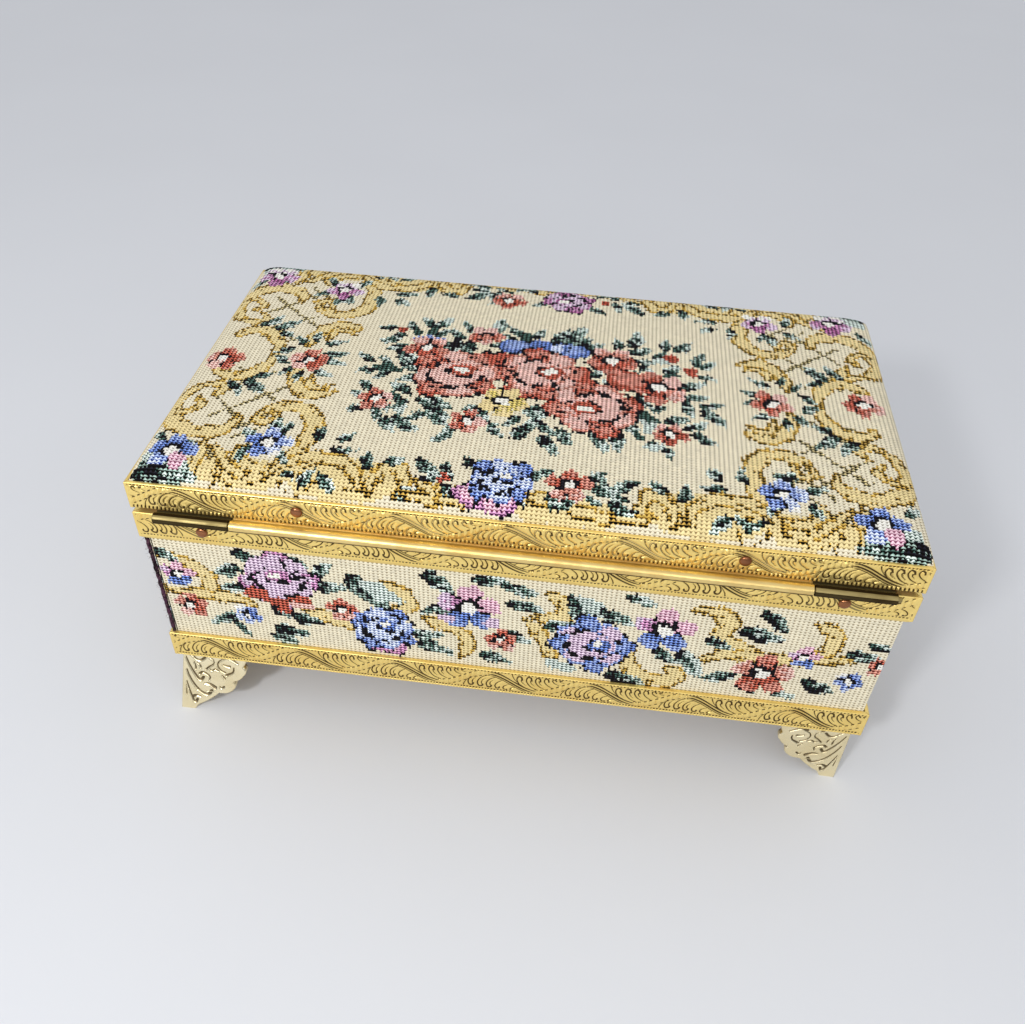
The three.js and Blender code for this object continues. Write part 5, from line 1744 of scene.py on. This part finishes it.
def velvet_material():
    shader = Shader("velvet")
    pile = shader.noise(1600.0, 3.0)
    brushed = shader.noise(38.0, 4.0).above(0.38, 0.66)
    base = shader.mix(brushed * 0.6, tint("74202c"), tint("551420"))
    base = shader.mix(pile * 0.5, base, tint("8e3340"))
    return shader.finish(Base_Color=base, Roughness=0.95, Specular_IOR_Level=0.2, Sheen_Weight=0.7,
                         Sheen_Roughness=0.4, Sheen_Tint=tint("d98a92"),
                         Normal=shader.bump(pile, 0.00012, 0.6))


def board_material():
    shader = Shader("fibreboard")
    fibre = shader.noise(700.0, 5.0)
    fleck = shader.noise(240.0, 2.0).above(0.55, 0.75)
    base = shader.mix(fibre, tint("8a6a44"), tint("ab8a5e"))
    base = shader.mix(fleck * 0.4, base, tint("6b5033"))
    return shader.finish(Base_Color=base, Roughness=0.9, Normal=shader.bump(fibre, 0.00008, 0.5))


def wadding_material():
    shader = Shader("wadding")
    fluff = shader.noise(420.0, 5.0)
    base = shader.mix(fluff, tint("e4dfd2"), tint("f4f1e8"))
    return shader.finish(Base_Color=base, Roughness=1.0, Normal=shader.bump(fluff, 0.0004, 0.6))


def steel_material():
    shader = Shader("steel")
    grain = shader.noise(900.0, 2.0)
    base = shader.mix(grain, tint("8f8f8a"), tint("a8a8a2"))
    return shader.finish(Base_Color=base, Metallic=1.0, Roughness=grain * 0.15 + 0.3)


velvet, fibreboard = velvet_material(), board_material()
wadding, steel = wadding_material(), steel_material()
BEND_POINTS = 5
FLAT_POINTS = 30
THINNEST_EDGE = 0.02
PAD_GRID = (60, 90)
PAD_SIDE = 0.8
PAD_UNDER = 0.9
PAD_CLEAR = 0.02


def slab(name, upper, lower, over=False, crease=50):
    """Two grids of points as the broad faces of one closed block, joined by a rim of faces between
    their edges. With over, the block's faces are all turned, for grids that run the other way."""
    rows, columns = upper.shape[:2]
    count = rows * columns
    faces = grid_faces(rows, columns)
    ring = np.concatenate([np.arange(columns), columns * np.arange(1, rows) + columns - 1,
                           (rows - 1) * columns + np.arange(columns - 2, -1, -1),
                           columns * np.arange(rows - 2, 0, -1)])
    after = np.roll(ring, -1)
    rim = np.stack([ring, ring + count, after + count, after], -1)
    whole = np.vstack([faces, flip(faces) + count, rim])
    return build(name, np.stack([upper, lower]), flip(whole) if over else whole, crease=crease)


def velvet_panel(name, node, body, edge):
    """A block in the node's box with rounded edges: at a distance d into the edge, both broad faces
    drop by r - sqrt(r^2 - d^2), where r is the edge's radius."""
    low, high = span(node)
    middle, half = (low + high) / 2, (high - low) / 2
    thin = int(np.argmin(half))
    broad = [k for k in range(3) if k != thin]
    radius = min(edge, half[thin])
    bend = radius * (1 - np.cos(np.radians(np.linspace(0, 90, BEND_POINTS))))
    flat = [np.linspace(radius - half[k], half[k] - radius, FLAT_POINTS)[1:-1] for k in broad]
    lines = [np.concatenate([bend - half[k], inner, half[k] - bend[::-1]]) for k, inner in zip(broad, flat)]
    places = np.meshgrid(*lines)
    into = [radius - np.clip(half[k] - np.abs(place), 0, radius) for k, place in zip(broad, places)]
    drop = radius - np.sqrt(np.clip(radius ** 2 - np.clip(np.hypot(*into), 0, radius) ** 2, 0, None))
    layers = []
    for side in (1, -1):
        layer = np.zeros((*drop.shape, 3))
        layer[..., broad[0]], layer[..., broad[1]] = places
        layer[..., thin] = side * np.maximum(half[thin] - drop, THINNEST_EDGE)
        layers.append(layer + middle)
    piece = slab(name, *layers, over=thin == 1, crease=60)
    return settle(piece, body, "velvet", velvet, node)


for side in SIDES:
    velvet_panel(f"velvet_wall_{side}", f"lining_{side}", "box", edge=0.6)
velvet_panel("velvet_floor", "lining_floor", "box", edge=0.9)
velvet_panel("velvet_lid_panel", "lid_lining", "lid", edge=1.2)
boards = ["base_board", "lid_board", *[f"wall_{side}" for side in SIDES]]
screws = [name for name in frame["nodes"] if name.startswith("foot_screw")]
for names, material in ((boards, fibreboard), (screws, steel)):
    for name in names:
        frame["nodes"][name].data.materials.clear()
        frame["nodes"][name].data.materials.append(material)


def wadding_pad():
    """The pad under the lid's cloth: the cloth's own crown, a little lower, on a straight side. Its
    grid lines are at the sines of even steps, so that they crowd towards the shoulders."""
    low, high = span("lid_pad")
    half_x, half_y = (high[0] - low[0]) / 2, (high[1] - low[1]) / 2
    inset = crown_x - half_x
    down, across = [np.sin(np.linspace(-np.pi / 2, np.pi / 2, count)) for count in PAD_GRID]
    x, y = across[None, :] * half_x, down[:, None] * half_y
    z = low[2] + PAD_SIDE + crown(x, y, SHOULDER_RISE - PAD_UNDER, inset) - PAD_CLEAR
    upper = surface(x + hinge_x, y + MIDDLE_Y, z)
    lower = upper.copy()
    lower[..., 2] = low[2]
    pad = slab("wadding_pad", upper, lower)
    return settle(pad, "lid", "wadding", wadding, "lid_pad")


pad = wadding_pad()
print("velvet panels 6, pad", [round(v, 1) for v in span("lid_pad")[1]])

# %% [markdown]
# ## Floor, backdrop and light
#
# The box stands on a white table in soft daylight. One plane is both table and background, because the
# camera looks down. A small lamp behind the camera, to its left, lays the faint shadow to the right. A
# long one gives the rolled hinge its bright line, and a pale world fills the rest.

# %% The stage


def floor_material():
    shader = Shader("table")
    mottle = shader.noise(6.0, 3.0)
    base = shader.mix(mottle, tint("dee0e4"), tint("d9dbdf"))
    return shader.finish(Base_Color=base, Roughness=0.6, Specular_IOR_Level=0.2)


FLOOR_HALF = 3000
LAMP_AIM = (0, 0, 50)


def floor_plane():
    """The table's top as one face that reaches far past the view."""
    corners = np.array([(-1, -1, 0), (1, -1, 0), (1, 1, 0), (-1, 1, 0)]) * FLOOR_HALF
    obj = build("table", corners, np.array([[0, 1, 2, 3]]))
    obj.data.materials.append(floor_material())


floor_plane()


def lamp(name, place, size, watts):
    """An area lamp at a place in millimetres, turned towards the middle of the box."""
    light = bpy.data.lights.new(name, "AREA")
    light.shape, light.energy = "RECTANGLE", watts
    light.size, light.size_y = size[0] * MM, size[1] * MM
    obj = bpy.data.objects.new(name, light)
    bpy.context.scene.collection.objects.link(obj)
    place, aim = Vector(place) * MM, Vector(LAMP_AIM) * MM
    facing = (aim - place).to_track_quat("-Z", "Y").to_matrix().to_4x4()
    obj.matrix_world = Matrix.Translation(place) @ facing


lamp("window", (60, 660, 420), (820, 240), 1.1)
lamp("sun_patch", (345, 700, 640), (100, 100), 3.0)


def pale_room():
    """A world that is pale overhead and greyer towards the horizon, as a room is."""
    world = bpy.data.worlds.new("pale_room")
    bpy.context.scene.world = world
    world.use_nodes = True
    nodes, links = world.node_tree.nodes, world.node_tree.links
    direction = nodes.new("ShaderNodeTexCoord")
    upright = nodes.new("ShaderNodeSeparateXYZ")
    ramp = nodes.new("ShaderNodeValToRGB")
    for element, (place, colour) in zip(ramp.color_ramp.elements, [(0.05, "a6a9af"), (0.6, "fbfcff")]):
        element.position, element.color = place, tint(colour)
    links.new(direction.outputs["Generated"], upright.inputs[0])
    links.new(upright.outputs["Z"], ramp.inputs["Fac"])
    links.new(ramp.outputs["Color"], nodes["Background"].inputs["Color"])
    nodes["Background"].inputs["Strength"].default_value = 0.8


pale_room()
bpy.context.scene.view_settings.view_transform = "Standard"
